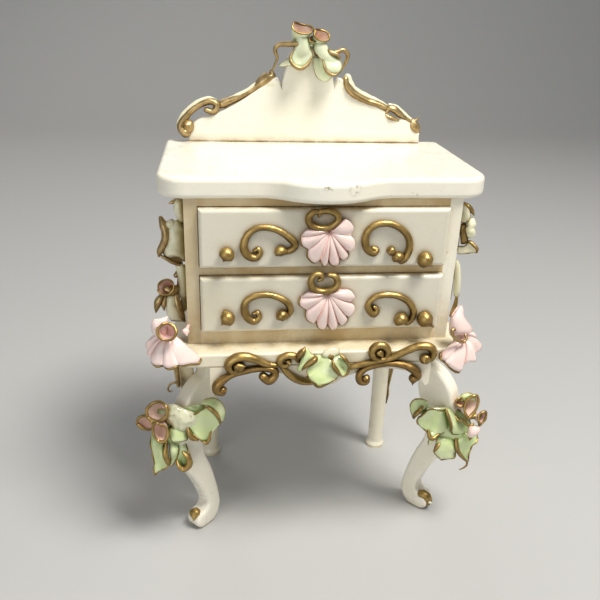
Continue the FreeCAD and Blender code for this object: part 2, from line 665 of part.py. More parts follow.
def build_crest():
    """Bouquet on the gallery's neck and gilt ribbons along its shoulders."""
    front = size("top_back") - size("gallery_thick")
    trim("crest_roses",
         cup((-1.5, front - 2.0, 98.3), (-0.20, -0.55, 0.80), 2.1, 3.2),
         cup((2.2, front - 2.0, 96.9), (0.35, -0.60, 0.72), 1.8, 3.0),
         ball(0.4, front - 2.6, 94.9, 0.95))
    trim("crest_leaves",
         leaf((-1.6, front - 1.2, 97.0), (-2.2, front - 1.6, 90.8), 4.6, (0, -0.95, 0.2)),
         leaf((1.6, front - 1.2, 95.6), (5.2, front - 1.5, 90.0), 4.4, (0.2, -0.95, 0.2)),
         leaf((-1.0, front - 0.5, 94.6), (-5.9, front - 0.6, 91.8), 2.6, (0, -1, 0.1)),
         leaf((1.0, front - 0.3, 94.0), (2.4, front - 0.4, 88.6), 4.0, (0, -1, 0)))
    trim("crest_tendril_left",
         rope([(-2.6, 95.6), (-4.8, 94.9), (-6.7, 95.1), (-7.1, 93.4), (-7.4, 91.2)], 190, front - 1.0,
              size("tendril")))
    trim("crest_tendril_right",
         rope([(3.9, 93.4), (5.9, 94.5), (7.4, 93.4), (7.1, 91.4), (6.1, 90.0)], 20, front - 1.0,
              size("tendril")))
    middle = size("top_back") - size("gallery_thick") / 2
    shoulder = size("top_under") + size("top_thick")
    trim("gallery_ribbon_left",
         rope([(-7.2, 90.4), (-9.4, 87.9), (-13.0, 85.6), (-17.6, 83.8)], -130, middle - 0.6, size("ribbon")),
         join(rope([(-20.4, 82.9), (-19.0, 82.6), (-18.2, 83.6), (-19.8, 84.9), (-22.6, 84.2), (-24.9, 82.0),
                    (-25.7, 79.8)], 0, middle - 0.9, size("ribbon_end")),
              ball(-24.6, middle - 0.9, shoulder + 2.9, 1.35)))
    trim("gallery_ribbon_right",
         rope([(7.6, 89.6), (8.8, 87.0), (11.8, 85.1), (15.2, 84.2), (17.4, 83.9), (19.6, 82.6),
               (21.6, 81.0)], -80, middle - 0.6, size("ribbon_end")),
         leaf((21.2, middle - 0.8, 81.6), (24.6, middle - 0.8, 77.8), 3.0, (0, -1, 0.2)))


# ---------------------------------------------------------------- build, check and write
def build():
    build_carcass()
    build_top_board()
    build_gallery()
    build_base()
    build_apron()
    build_front_leg("front_leg_left", -1, "leg_left")
    build_front_leg("front_leg_right", 1, "leg_right")
    build_rear_leg("rear_leg_left", -1, "rear_left")
    build_rear_leg("rear_leg_right", 1, "rear_right")
    for name in ("lower", "upper"):
        build_drawer(name)
    build_drawer_trim()
    build_apron_trim()
    build_corner_trim()
    build_side_trim()
    build_leg_trim()
    build_crest()
    doc.recompute()


def check():
    """Stops on a failed object or a bad shape, and prints the overall box."""
    for item in doc.Objects:
        if "Invalid" in item.State or "Error" in item.State:
            raise RuntimeError(f"{item.Label}: {item.State}")
    whole = FreeCAD.BoundBox()
    for piece in pieces:
        shape = piece.Shape
        if shape.isNull() or not shape.isValid() or not shape.Solids:
            raise RuntimeError(f"{piece.Label}: bad shape")
        whole.add(shape.BoundBox)
    print(f"{len(pieces)} sub-parts, X {whole.XMin:.2f}..{whole.XMax:.2f}, "
          f"Y {whole.YMin:.2f}..{whole.YMax:.2f}, Z {whole.ZMin:.2f}..{whole.ZMax:.2f}")


def write():
    os.makedirs("parts", exist_ok=True)
    for piece in pieces:
        piece.Shape.exportStep(f"parts/{piece.Label}.step")


fill_sheet()
build()
check()
write()
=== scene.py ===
# Miniature chest of drawers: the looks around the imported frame.
# Trim is modelled in millimetres from the chest's middle plane, the carcass front and the floor,
# with Y growing towards the back, and is scaled to metres when a piece is made. Most rows of points
# were picked by eye on enlarged crops, and a helper script turned the picks into millimetres.
import math

import bmesh
import bpy
import numpy as np
from mathutils.geometry import tessellate_polygon
from mathutils import Matrix, Vector, noise


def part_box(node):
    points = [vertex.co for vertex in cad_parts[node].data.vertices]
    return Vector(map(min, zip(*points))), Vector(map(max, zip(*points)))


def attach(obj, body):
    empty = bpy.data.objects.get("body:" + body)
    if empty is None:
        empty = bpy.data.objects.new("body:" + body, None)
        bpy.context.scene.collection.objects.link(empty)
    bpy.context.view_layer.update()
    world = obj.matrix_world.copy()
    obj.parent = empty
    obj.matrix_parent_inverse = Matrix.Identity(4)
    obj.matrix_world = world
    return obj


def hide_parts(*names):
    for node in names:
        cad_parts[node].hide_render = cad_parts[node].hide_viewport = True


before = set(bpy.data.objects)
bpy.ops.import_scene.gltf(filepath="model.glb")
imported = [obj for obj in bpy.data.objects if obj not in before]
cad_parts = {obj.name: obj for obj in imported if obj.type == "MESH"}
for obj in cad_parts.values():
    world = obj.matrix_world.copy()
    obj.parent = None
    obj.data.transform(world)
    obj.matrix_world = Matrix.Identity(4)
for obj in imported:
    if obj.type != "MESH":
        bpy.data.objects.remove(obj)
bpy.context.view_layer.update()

MM = 0.001
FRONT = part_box("side_panel_left")[0].y / MM
DRAWER_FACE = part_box("upper_drawer_front")[0].y / MM - FRONT
BASE_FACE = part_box("base_board")[0].y / MM - FRONT
GALLERY_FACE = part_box("backsplash")[0].y / MM - FRONT
GALLERY_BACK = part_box("backsplash")[1].y / MM - FRONT
TOWARDS_VIEWER = (0, -1, 0)
LEG_THICK = 3.6
LEG_KNEE = 20.5                                      # how far out the knee bulges
CAP_ANGLES = (35, 65, 85)                            # where a rope's round end has its rings
ARC_STEPS = 12
CAMERA_PLACE = Vector((-0.0186, -0.1229, 0.1036))
CAMERA_ANGLES = (7.47, 24.14, 2.0)                   # yaw, pitch and roll in degrees


# ---------------------------------------------------------------- curves and lofted solids
def smooth(points, per_span):
    """Catmull-Rom curve through rows of any length: place, radius, width and so on."""
    rows = np.array(points, float)
    rows = np.vstack([2 * rows[0] - rows[1], rows, 2 * rows[-1] - rows[-2]])
    step = np.linspace(0, 1, per_span, endpoint=False)[:, None]
    spans = []
    for before, start, end, after in zip(rows, rows[1:], rows[2:], rows[3:]):
        linear = end - before
        square = 2 * before - 5 * start + 4 * end - after
        cube = 3 * start - before - 3 * end + after
        spans.append(0.5 * (2 * start + linear * step + square * step ** 2 + cube * step ** 3))
    return np.vstack(spans + [rows[-2][None]])


def unit(vectors):
    vectors = np.asarray(vectors, float)
    return vectors / np.maximum(np.linalg.norm(vectors, axis=-1, keepdims=True), 1e-9)


def tangents(path):
    return unit(np.gradient(path, axis=0))


def carried_normals(path, hint):
    """Normals carried along a path without twist, starting from a hint."""
    ahead = tangents(path)
    normal = np.array(hint, float)
    normals = []
    for direction in ahead:
        normal = unit(normal - direction * np.dot(normal, direction))
        normals.append(normal)
    return ahead, np.array(normals)


def loft(rings, caps=None):
    """Closed mesh over rings with equal counts. The ends get a pole each, or the given triangles."""
    rings = [np.asarray(ring, float) for ring in rings]
    count, around = len(rings), len(rings[0])
    verts = list(np.vstack(rings))
    faces = []
    for start in range(0, (count - 1) * around, around):
        for a in range(around):
            b = (a + 1) % around
            faces.append((start + a, start + b, start + around + b, start + around + a))
    if caps:
        faces.extend(tuple(corners)[::-1] for corners in caps)
        faces.extend(tuple((count - 1) * around + a for a in corners) for corners in caps)
    else:
        for ring, flip in ((0, True), (count - 1, False)):
            pole = len(verts)
            verts.append(rings[ring].mean(axis=0))
            for a in range(around):
                b = (a + 1) % around
                first, second = ring * around + a, ring * around + b
                faces.append((pole, second, first) if flip else (pole, first, second))
    return np.array(verts), faces


def circle(count):
    return np.linspace(0, 2 * math.pi, count, endpoint=False)


def lump(point, scale, seed):
    """Gentle noise in -1..1 at a point in millimetres."""
    return noise.noise(Vector(point) * scale + Vector((seed, 2.7 * seed, -seed)))


def uneven_rows(points, radii, rough, scale, seed):
    """Rows for a tube along the points, its radius varied by gentle noise."""
    return [tuple(point) + (radius * (1 + rough * lump(point, scale, seed)),)
            for point, radius in zip(points, radii)]


def tube(route, hint=TOWARDS_VIEWER, sides=14, per_span=6, ridge=0.06, ridges=3, rough=0.06, flat=1.0,
         seed=0.0):
    """Piped rope along rows of x, y, z, radius, with shallow ridges, lumps and round ends."""
    rows = smooth(route, per_span)
    path, radius = rows[:, :3], np.maximum(rows[:, 3], 0.03)
    ahead, normals = carried_normals(path, hint)
    caps = []
    for end, sign in ((0, -1), (-1, 1)):
        caps.append([(path[end] + sign * ahead[end] * radius[end] * math.sin(a),
                      radius[end] * math.cos(a), ahead[end], normals[end]) for a in np.radians(CAP_ANGLES)])
    stations = caps[0][::-1] + list(zip(path, radius, ahead, normals)) + caps[1]
    angles = circle(sides)
    rings = []
    for centre, size, direction, normal in stations:
        side = np.cross(direction, normal)
        swell = 1 + rough * lump(centre, 0.9, seed)
        shape = 1 + ridge * np.cos(ridges * angles + 0.4 * lump(centre, 0.4, seed + 5))
        reach = (size * swell * shape)[:, None]
        round_it = flat * np.cos(angles)[:, None] * normal + np.sin(angles)[:, None] * side
        rings.append(centre + reach * round_it)
    return loft(rings)


def drop(centre, radius, nib, stretch=1.0):
    """Bead of paste pulled out to a small nib at the given place."""
    centre, nib = np.array(centre, float), np.array(nib, float)
    axis = unit(nib - centre)
    length = np.linalg.norm(nib - centre)
    side = unit(np.cross(axis, (0.3, 0.2, 1.0)))
    lift = np.cross(axis, side)
    start_angle, leave_angle = 0.12, math.radians(118)
    rows = [(-math.cos(a) * radius, math.sin(a) * radius) for a in np.linspace(start_angle, leave_angle, 12)]
    along, across = rows[-1]
    for share in (0.3, 0.6, 0.85, 1.0):
        rows.append((along + share * (length - along), across * (1 - share) ** 1.7 + 0.05))
    angles = circle(20)[:, None]
    rings = []
    for reach, size in rows:
        wobble = 1 + 0.04 * np.cos(3 * angles + reach)
        round_it = stretch * np.cos(angles) * side + np.sin(angles) * lift
        rings.append(centre + axis * reach + size * wobble * round_it)
    return loft(rings)


def leaf_half(thick, share, spread):
    """Half the thickness over a leaf: thinner at its stalk, tip and edges."""
    taper = np.minimum(1, 0.35 + 5 * share) * np.minimum(1, 0.3 + 6 * (1 - share))
    return 0.5 * thick * taper * np.sqrt(1.04 - spread ** 4)


def blade(stations, facing, thick, ruffle=0.0, waves=0):
    """Petal or strip: rows of x, y, z, left width, right width, curl in degrees. Positive curl bends the
    edges towards the facing side. Returns the solid and its two edge lines."""
    rows = smooth(stations, 5)
    path = rows[:, :3]
    ahead = tangents(path)
    share = np.linspace(0, 1, len(rows))
    side = unit(np.cross(ahead, unit(facing)))
    normal = np.cross(side, ahead)
    rings, left_line, right_line = [], [], []
    spread = np.linspace(-1, 1, 10)
    for i, row in enumerate(rows):
        width = np.where(spread < 0, max(row[3], 0.05), max(row[4], 0.05))
        curl = math.radians(row[5])
        angle = curl * spread
        if abs(curl) < 0.02:
            sideways, lift = width * spread, np.zeros(len(spread))
        else:
            sideways = width * np.sin(angle) / abs(curl) * np.sign(curl)
            lift = width * (1 - np.cos(angle)) / curl
        wave = ruffle * math.sin(2 * math.pi * waves * share[i])
        lift = lift + wave * np.where(spread < 0, spread ** 2, -spread ** 2)
        middle = path[i] + sideways[:, None] * side[i] + lift[:, None] * normal[i]
        out = -np.sin(angle)[:, None] * side[i] + np.cos(angle)[:, None] * normal[i]
        half = leaf_half(thick, share[i], spread)[:, None]
        rings.append(np.vstack([middle + out * half, (middle - out * half)[::-1]]))
        left_line.append(middle[0])
        right_line.append(middle[-1])
    return loft(rings), (left_line, right_line)


def sheet(rows, facing=TOWARDS_VIEWER, thick=0.55, across=11, per_span=5, ruffle=0.0, waves=2.5, lumpy=0.0):
    """Leaf drawn by rows of three places: its left edge, its middle and its right edge."""
    table = smooth([np.ravel(row) for row in rows], per_span)
    left, middle, right = table[:, None, :3], table[:, None, 3:6], table[:, None, 6:]
    spread = np.linspace(-1, 1, across)[None, :, None]
    skin = middle + (right - left) / 2 * spread + ((right + left) / 2 - middle) * spread ** 2
    facing = np.array(facing, float)
    normal = np.cross(np.gradient(skin, axis=0), np.gradient(skin, axis=1))
    normal *= np.where((normal @ facing)[..., None] < 0, -1, 1)
    normal = unit(normal + 0.05 * np.mean(np.linalg.norm(normal, axis=-1)) * facing)
    share = np.linspace(0, 1, len(table))[:, None, None]
    skin = skin + ruffle * spread ** 2 * np.sin(2 * math.pi * waves * share + 1.5 * spread) * normal
    if lumpy:
        lumps = np.array([[[lump(place, 1.4, 5.0)] for place in row] for row in skin])
        skin = skin + lumpy * lumps * normal
    half = leaf_half(thick, share, spread)
    front, back = skin + half * normal, skin - half * normal
    rings = [np.vstack([near, far[::-1]]) for near, far in zip(front, back)]
    return loft(rings), (list(skin[:, 0]), list(skin[:, -1]))


def edging(lines, radius, rough=0.8, seed=0.0):
    """Gilt line along a leaf's edge, from the stalk round the tip and back."""
    left, right = lines
    route = list(left[1:]) + list(right[::-1][:-1])
    rows = uneven_rows(route, [radius] * len(route), rough, 1.1, seed)
    return tube(rows, sides=8, per_span=1, ridge=0, rough=0)


def rose(centre, direction, rim, depth, spin=0.0, oval=0.86, rim_radius=0.3):
    """Rolled petal cup. Returns the cup's outside, the lining and the gilt rim."""
    roll, wave = 0.16, 0.1
    centre, axis = np.array(centre, float), unit(direction)
    side = unit(np.cross(axis, (0.2, 0.1, 1.0)))
    lift = np.cross(side, axis)
    angles = circle(36)
    turn = np.radians(spin)
    rolled = 1 + roll * ((angles / (2 * math.pi)) - 0.5)
    height_wave = wave * rim * (np.sin(2 * angles + 1.0) + 0.5 * np.sin(3 * angles))

    def ring(size, height, share):
        reach = rim * size * (1 + (rolled - 1) * share)
        flat = reach * np.cos(angles)
        tall = reach * oval * np.sin(angles)
        wide = flat * math.cos(turn) - tall * math.sin(turn)
        high = flat * math.sin(turn) + tall * math.cos(turn)
        rise = height * depth + height_wave * share
        return centre + wide[:, None] * side + high[:, None] * lift + rise[:, None] * axis

    outside = [
        (0.3, -1.0, 0), (0.52, -0.86, 0.1), (0.72, -0.6, 0.3), (0.88, -0.32, 0.6), (1.0, -0.08, 0.9),
        (1.02, 0.0, 1)]
    lining = [
        (1.0, 0.0, 1), (0.92, -0.08, 1), (0.82, -0.26, 0.8), (0.68, -0.5, 0.5), (0.5, -0.72, 0.3),
        (0.2, -0.86, 0.1)]
    wall = [(size + 0.03, height - 0.03, share) for size, height, share in lining[1:]]
    skin = [(size + 0.01, height - 0.015, share) for size, height, share in lining]
    lip = ring(0.98, 0.0, 1)
    lip = np.vstack([lip, lip[:1]])
    rim_rows = uneven_rows(lip, [rim_radius] * len(lip), 0.5, 0.7, spin)
    edge = tube(rim_rows, hint=axis, sides=8, per_span=1, ridge=0, rough=0.2)
    cup = loft([ring(*row) for row in outside + wall])
    return cup, loft([ring(*row) for row in lining[::-1] + skin]), edge


def ribs_from(start, *steps):
    """Ribs of a shell in a row, each starting where the one before it ends."""
    ribs = []
    for step in steps:
        ribs.append([start, *step])
        start = step[-1]
    return ribs


def shell(hinge, ribs, facing, rise, dome, lip=0.4, thick=0.9, root=0.14):
    """Pleated shell from a hinge to a scalloped rim. Each rib is a list of rim points, and two ribs meet
    in a groove. Returns the shell and one rim line per rib."""
    hinge, face = np.array(hinge, float), unit(facing)
    rings, lines = [], []
    reach = np.linspace(root, 1, 12)
    for rib in ribs:
        outline = smooth(rib, 9 // (len(rib) - 1))
        crown = np.sin(math.pi * np.linspace(0, 1, len(outline))) ** 0.6
        line = []
        for target, height in zip(outline, crown):
            path = hinge + reach[:, None] * (target - hinge)
            arch = dome * np.sin(math.pi * reach ** 0.8) + lip * reach ** 3
            relief = rise * height * np.sqrt(reach) * (1 - 0.25 * reach)
            front = path + (arch + relief)[:, None] * face
            back = path + (arch + 0.55 * relief - thick)[:, None] * face
            rings.append(np.vstack([front, back[::-1]]))
            outward = (target - hinge) / np.linalg.norm(target - hinge)
            line.append((front[-1] + back[-1]) / 2 + 0.12 * outward)
        lines.append(line)
    return loft(rings), lines


def rim_ropes(lines, radius):
    """Gilt laid along a shell's rim lines."""
    ropes = []
    for number, line in enumerate(lines):
        fade = np.sin(math.pi * np.linspace(0.12, 0.88, len(line)))
        rows = uneven_rows(line, radius * (0.5 + 0.6 * fade), 0.5, 0.8, number)
        ropes.append(tube(rows, sides=9, per_span=1, ridge=0, rough=0.1))
    return ropes


def outline(steps):
    """Points round a closed outline of (x, y) lines and (x_mid, y_mid, x, y) arcs."""
    points = []
    start = np.array(steps[-1][-2:], float)
    for step in steps:
        end = np.array(step[-2:], float)
        if len(step) == 4:
            to_middle, to_end = np.array(step[:2], float) - start, end - start
            turn = 2 * (to_middle[0] * to_end[1] - to_middle[1] * to_end[0])
            lengths = (to_middle @ to_middle, to_end @ to_end)
            centre = start + np.array([to_end[1] * lengths[0] - to_middle[1] * lengths[1],
                                       to_middle[0] * lengths[1] - to_end[0] * lengths[0]]) / turn
            first, last = (math.atan2(*(place - centre)[::-1]) for place in (start, end))
            sweep = (last - first) % (2 * math.pi)
            if turn < 0:
                sweep -= 2 * math.pi
            angles = first + np.linspace(0, 1, ARC_STEPS + 1)[1:] * sweep
            radius = np.linalg.norm(start - centre)
            points.extend(centre + radius * np.array([math.cos(a), math.sin(a)]) for a in angles)
        else:
            points.append(end)
        start = end
    return np.array(points)


def sawn(points, thick, edge, to_space):
    """Board cut to an outline with rounded edges. to_space turns an outline place and a depth into
    x, y, z."""
    ahead, behind = np.roll(points, -1, axis=0), np.roll(points, 1, axis=0)
    along = unit(ahead - behind)
    area = np.sum(points[:, 0] * ahead[:, 1] - ahead[:, 0] * points[:, 1])
    inward = np.column_stack([-along[:, 1], along[:, 0]]) * (1 if area > 0 else -1)
    profile = [(edge * (1 - math.sin(a)), edge * (1 - math.cos(a))) for a in np.linspace(0, math.pi / 2, 5)]
    profile += [(inset, thick - depth) for inset, depth in profile[::-1]]
    unevenness = 0.05
    uneven = np.array([unevenness * lump((*place, 0), 0.35, 4.0) for place in points])[:, None]
    rings = []
    for inset, depth in profile:
        rings.append(np.array([to_space(place, depth) for place in points + inward * (inset + uneven)]))
    return loft(rings, caps=tessellate_polygon([[Vector((x, y, 0)) for x, y in points]]))


# ---------------------------------------------------------------- pieces
def piece(name, parts, finish, replaces=(), body="cabinet"):
    """One object from lofted parts, riding on a CAD body."""
    verts, faces = [], []
    for part_verts, part_faces in parts:
        start = len(verts)
        verts.extend((np.array(part_verts) + (0, FRONT, 0)) * MM)
        faces.extend(tuple(start + index for index in face) for face in part_faces)
    mesh = bpy.data.meshes.new(name)
    mesh.from_pydata([tuple(vert) for vert in verts], [], faces)
    shape = bmesh.new()
    shape.from_mesh(mesh)
    bmesh.ops.recalc_face_normals(shape, faces=shape.faces)
    shape.to_mesh(mesh)
    shape.free()
    mesh.polygons.foreach_set("use_smooth", [True] * len(mesh.polygons))
    mesh.materials.append(finish.material)
    item = bpy.data.objects.new(name, mesh)
    bpy.context.scene.collection.objects.link(item)
    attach(item, body)
    if replaces:
        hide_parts(*replaces)
    return item


# ---------------------------------------------------------------- materials
class Finish:
    """One material and the shader nodes that it is mixed from."""

    def __init__(self, name):
        self.material = bpy.data.materials.new(name)
        self.material.use_nodes = True
        self.nodes = self.material.node_tree.nodes
        self.links = self.material.node_tree.links
        self.shader = self.nodes["Principled BSDF"]
        self.place = self.nodes.new("ShaderNodeTexCoord").outputs["Object"]

    def set(self, **inputs):
        """Sets shader inputs: a socket is linked and anything else is a plain value."""
        for word, value in inputs.items():
            socket = self.shader.inputs[word.replace("_", " ")]
            if isinstance(value, bpy.types.NodeSocket):
                self.links.new(value, socket)
            else:
                socket.default_value = value

    def noise(self, scale, detail, roughness=0.5, place=None):
        node = self.nodes.new("ShaderNodeTexNoise")
        node.inputs["Scale"].default_value = scale
        node.inputs["Detail"].default_value = detail
        node.inputs["Roughness"].default_value = roughness
        self.links.new(place or self.place, node.inputs["Vector"])
        return node.outputs["Fac"]

    def stretched(self, scale):
        """Object places, scaled differently along each axis."""
        node = self.nodes.new("ShaderNodeMapping")
        node.inputs["Scale"].default_value = scale
        self.links.new(self.place, node.inputs["Vector"])
        return node.outputs["Vector"]

    def ramp(self, value, low, high, low_out=0.0, high_out=1.0):
        """Maps a value from low..high to low_out..high_out, clamped."""
        node = self.nodes.new("ShaderNodeMapRange")
        numbers = (("From Min", low), ("From Max", high), ("To Min", low_out), ("To Max", high_out))
        for name, number in numbers:
            node.inputs[name].default_value = number
        self.links.new(value, node.inputs["Value"])
        return node.outputs["Result"]

    def product(self, first, second):
        node = self.nodes.new("ShaderNodeMath")
        node.operation = "MULTIPLY"
        self.links.new(first, node.inputs[0])
        self.links.new(second, node.inputs[1])
        return node.outputs["Value"]

    def tint(self, factor, below, above):
        """Mix of two colours, either of which may be a socket."""
        node = self.nodes.new("ShaderNodeMix")
        node.data_type = "RGBA"
        self.links.new(factor, node.inputs["Factor"])
        for name, colour in (("A", below), ("B", above)):
            socket = [s for s in node.inputs if s.name == name and s.type == "RGBA"][0]
            if isinstance(colour, tuple):
                socket.default_value = colour + (1.0,)
            else:
                self.links.new(colour, socket)
        return [s for s in node.outputs if s.type == "RGBA"][0]

    def recess(self, reach):
        """1 in the open, falling towards 0 in corners and under overhangs."""
        node = self.nodes.new("ShaderNodeAmbientOcclusion")
        node.inputs["Distance"].default_value = reach
        node.samples = 8
        return node.outputs["AO"]

    def bump(self, height, distance, strength, chained=None):
        node = self.nodes.new("ShaderNodeBump")
        node.inputs["Distance"].default_value = distance
        node.inputs["Strength"].default_value = strength
        self.links.new(height, node.inputs["Height"])
        if chained:
            self.links.new(chained, node.inputs["Normal"])
        self.links.new(node.outputs["Normal"], self.shader.inputs["Normal"])
        return node.outputs["Normal"]


def painted_cream(name, base=(0.86, 0.8, 0.63), aged=(0.8, 0.72, 0.5), grime_and_shade=(0.42, 0.28, 0.1),
                  reach=0.003, stain_and_shade=0.0, specks=0.6):
    """Old ivory enamel on wood: yellowed patches, brown soiling and painted shade in corners, specks and
    brush marks. The stain_and_shade amount is how much ochre soiling lies over the whole surface; on the left
    side board it stands for painted shade."""
    mix = Finish(name)
    colour = mix.tint(mix.ramp(mix.noise(70, 4), 0.42, 0.72, 0.0, 0.6), base, aged)
    # The ambient-occlusion mask darkens corners and overhangs towards the grime colour: brown soiling, and
    # painted shade.
    corners = mix.ramp(mix.recess(reach), 0.25, 0.85, 0.85, 0.0)
    streaks = mix.ramp(mix.noise(420, 4), 0.32, 0.62, 0.25, 1.0)
    colour = mix.tint(mix.product(corners, streaks), colour, grime_and_shade)
    # Noise-patterned ochre over the whole surface: real staining, and painted shade on the left side board.
    if stain_and_shade:
        soiling_and_shade = mix.ramp(mix.noise(150, 5), 0.4, 0.66, 0.15 * stain_and_shade, stain_and_shade)
        colour = mix.tint(soiling_and_shade, colour, (0.5, 0.33, 0.12))
    dots = mix.ramp(mix.noise(1300, 1), 0.79, 0.83, 0.0, specks)
    mix.set(
        Base_Color=mix.tint(dots, colour, (0.25, 0.17, 0.08)),
        Roughness=mix.ramp(mix.noise(300, 3), 0.3, 0.7, 0.22, 0.42), Coat_Weight=0.25, Coat_Roughness=0.2)
    brush_marks = mix.noise(900, 3, place=mix.stretched((0.25, 1.0, 1.0)))
    brushed = mix.bump(brush_marks, 0.00004, 0.6)
    mix.bump(mix.noise(160, 2), 0.00012, 0.6, brushed)
    return mix


def add_wear(mix, spots, colour):
    """Chips through the paint round spots given as a place and a radius in metres."""
    ragged = mix.noise(1100, 4, 0.7)
    for spot, radius in spots:
        away = mix.nodes.new("ShaderNodeVectorMath")
        away.operation = "DISTANCE"
        mix.links.new(mix.place, away.inputs[0])
        away.inputs[1].default_value = spot
        near = mix.ramp(away.outputs["Value"], 0.3 * radius, radius, 1.0, 0.0)
        chip = mix.product(near, mix.ramp(ragged, 0.48, 0.56))
        painted = mix.shader.inputs["Base Color"].links[0].from_socket
        mix.set(Base_Color=mix.tint(chip, painted, colour))


def gilding(name, bright=(0.5, 0.34, 0.115), dark=(0.07, 0.04, 0.012)):
    """Antique gold paint over paste: umber in the hollows, undersides darkened as painted shade, rubbed
    bright on the ridges.
    """
    mix = Finish(name)
    colour = mix.tint(mix.ramp(mix.noise(500, 4), 0.35, 0.66, 0.0, 0.7), bright, (0.2, 0.125, 0.035))
    # Faces turned downwards are mixed towards the dark colour: painted shade.
    facing = mix.nodes.new("ShaderNodeSeparateXYZ")
    mix.links.new(mix.nodes.new("ShaderNodeNewGeometry").outputs["Normal"], facing.inputs["Vector"])
    colour = mix.tint(mix.ramp(facing.outputs["Z"], -0.75, 0.25, 0.8, 0.0), colour, dark)
    hollows = mix.ramp(mix.recess(0.0016), 0.25, 0.85, 0.95, 0.0)
    mix.set(Base_Color=mix.tint(hollows, colour, dark), Metallic=0.8,
            Roughness=mix.ramp(mix.noise(900, 3), 0.3, 0.7, 0.28, 0.5))
    mix.bump(mix.noise(1500, 3), 0.00006, 0.8)
    return mix


def glazed(name, base, fold_shade, worn, reach=0.0018, pitted=0.0):
    """Glossy coloured enamel: deeper colour in the folds as painted shade, cloudy patches and tiny pits."""
    mix = Finish(name)
    colour = mix.tint(mix.ramp(mix.noise(260, 3), 0.38, 0.7, 0.0, 0.5), base, worn)
    # Recesses are mixed towards the fold colour: painted shade.
    colour = mix.tint(mix.ramp(mix.recess(reach), 0.25, 0.9, 0.9, 0.0), colour, fold_shade)
    pits = mix.ramp(
        mix.noise(2200 - 900 * pitted, 1), 0.77 - 0.11 * pitted, 0.82 - 0.08 * pitted, 0.0,
        0.6 + 0.3 * pitted)
    mix.set(
        Base_Color=mix.tint(pits, colour, (0.3, 0.2, 0.12)),
        Roughness=mix.ramp(mix.noise(500, 2), 0.3, 0.7, 0.1, 0.24), Coat_Weight=0.5, Coat_Roughness=0.08,
        Subsurface_Weight=0.08, Subsurface_Radius=(0.001, 0.0006, 0.0004))
    mix.bump(mix.noise(450, 3), 0.0001, 0.6)
    return mix


def bare_wood(name):
    """Unpainted softwood inside the drawers, grain running front to back."""
    mix = Finish(name)
    grain = mix.noise(900, 5, 0.6, mix.stretched((1.0, 0.12, 1.0)))
    colour = mix.tint(mix.ramp(grain, 0.35, 0.65), (0.62, 0.44, 0.25), (0.42, 0.27, 0.13))
    # Darker into the drawers' corners: painted shade.
    corner_shade = mix.ramp(mix.recess(0.004), 0.3, 0.9, 0.7, 0.0)
    mix.set(Base_Color=mix.tint(corner_shade, colour, (0.2, 0.12, 0.06)), Roughness=0.7)
    mix.bump(grain, 0.00006, 0.8)
    return mix


CREAM = painted_cream("cream_enamel")
# Lighter copies of the cream paint (top and gallery, legs, right side) are painted highlight; the darker
# copies (drawer fronts, left side) are painted shade.
CREAM_TOP_LIT = painted_cream("cream_enamel_top_lit", (0.9, 0.87, 0.74), (0.88, 0.83, 0.66), specks=0.25)
CREAM_LEG_LIT = painted_cream("cream_enamel_leg_lit", (0.9, 0.86, 0.73), (0.86, 0.8, 0.62))
CREAM_FRONT_SHADED = painted_cream("cream_enamel_front_shaded", (0.73, 0.69, 0.56), (0.68, 0.62, 0.45))
# Base board: wider corner darkening, soiling plus painted shade under the drawers and trim.
CREAM_BASE = painted_cream("cream_enamel_base", grime_and_shade=(0.5, 0.38, 0.16), reach=0.006)
CREAM_LEFT_SHADED = painted_cream(
    "cream_enamel_left_side_shaded", (0.68, 0.59, 0.39), grime_and_shade=(0.36, 0.26, 0.12), reach=0.008, stain_and_shade=0.5)
CREAM_RIGHT_LIT = painted_cream(
    "cream_enamel_right_side_lit", (0.9, 0.86, 0.72), grime_and_shade=(0.5, 0.38, 0.18), reach=0.006)
# Carcass floor under the drawers and the rails between and above them: real ochre stain, darkened further as
# painted shade of these set-back parts.
CREAM_FLOOR = painted_cream("cream_enamel_under_drawers", (0.84, 0.76, 0.55), (0.74, 0.58, 0.32), stain_and_shade=0.8)
CREAM_STAINED_AND_SHADED = painted_cream("cream_enamel_stained_and_shaded", (0.76, 0.66, 0.43), (0.66, 0.52, 0.28), stain_and_shade=0.9)
GOLD = gilding("antique_gold")
# Darker copy of the gilding for the lower apron scrolls: painted shade.
GOLD_SHADED = gilding("shaded_gold", (0.36, 0.22, 0.07), (0.04, 0.022, 0.008))
# Paler copy of the gilding; on the gallery ribbons it is painted highlight for their strong light.
GOLD_PALE = gilding("pale_gold", (0.66, 0.49, 0.24), (0.2, 0.12, 0.04))
PINK = glazed("pink_enamel", (0.91, 0.7, 0.64), (0.72, 0.4, 0.34), (0.93, 0.81, 0.74))
ROSE = glazed("rose_lining", (0.95, 0.7, 0.58), (0.72, 0.34, 0.22), (0.96, 0.84, 0.74), reach=0.0014)
GREEN = glazed("green_enamel", (0.62, 0.74, 0.34), (0.2, 0.3, 0.05), (0.82, 0.84, 0.58), reach=0.0028)
GREEN_PALE = glazed("pale_green_enamel", (0.68, 0.76, 0.5), (0.26, 0.36, 0.12), (0.84, 0.8, 0.64))
PASTE = glazed(
    "pitted_paste", (0.76, 0.74, 0.54), (0.36, 0.28, 0.1), (0.66, 0.74, 0.42), reach=0.0025, pitted=1.0)
PALE = glazed("pale_glaze", (0.86, 0.82, 0.6), (0.42, 0.34, 0.12), (0.74, 0.77, 0.5), reach=0.0025)
WOOD = bare_wood("bare_wood")
PLASTER = (0.36, 0.3, 0.22)


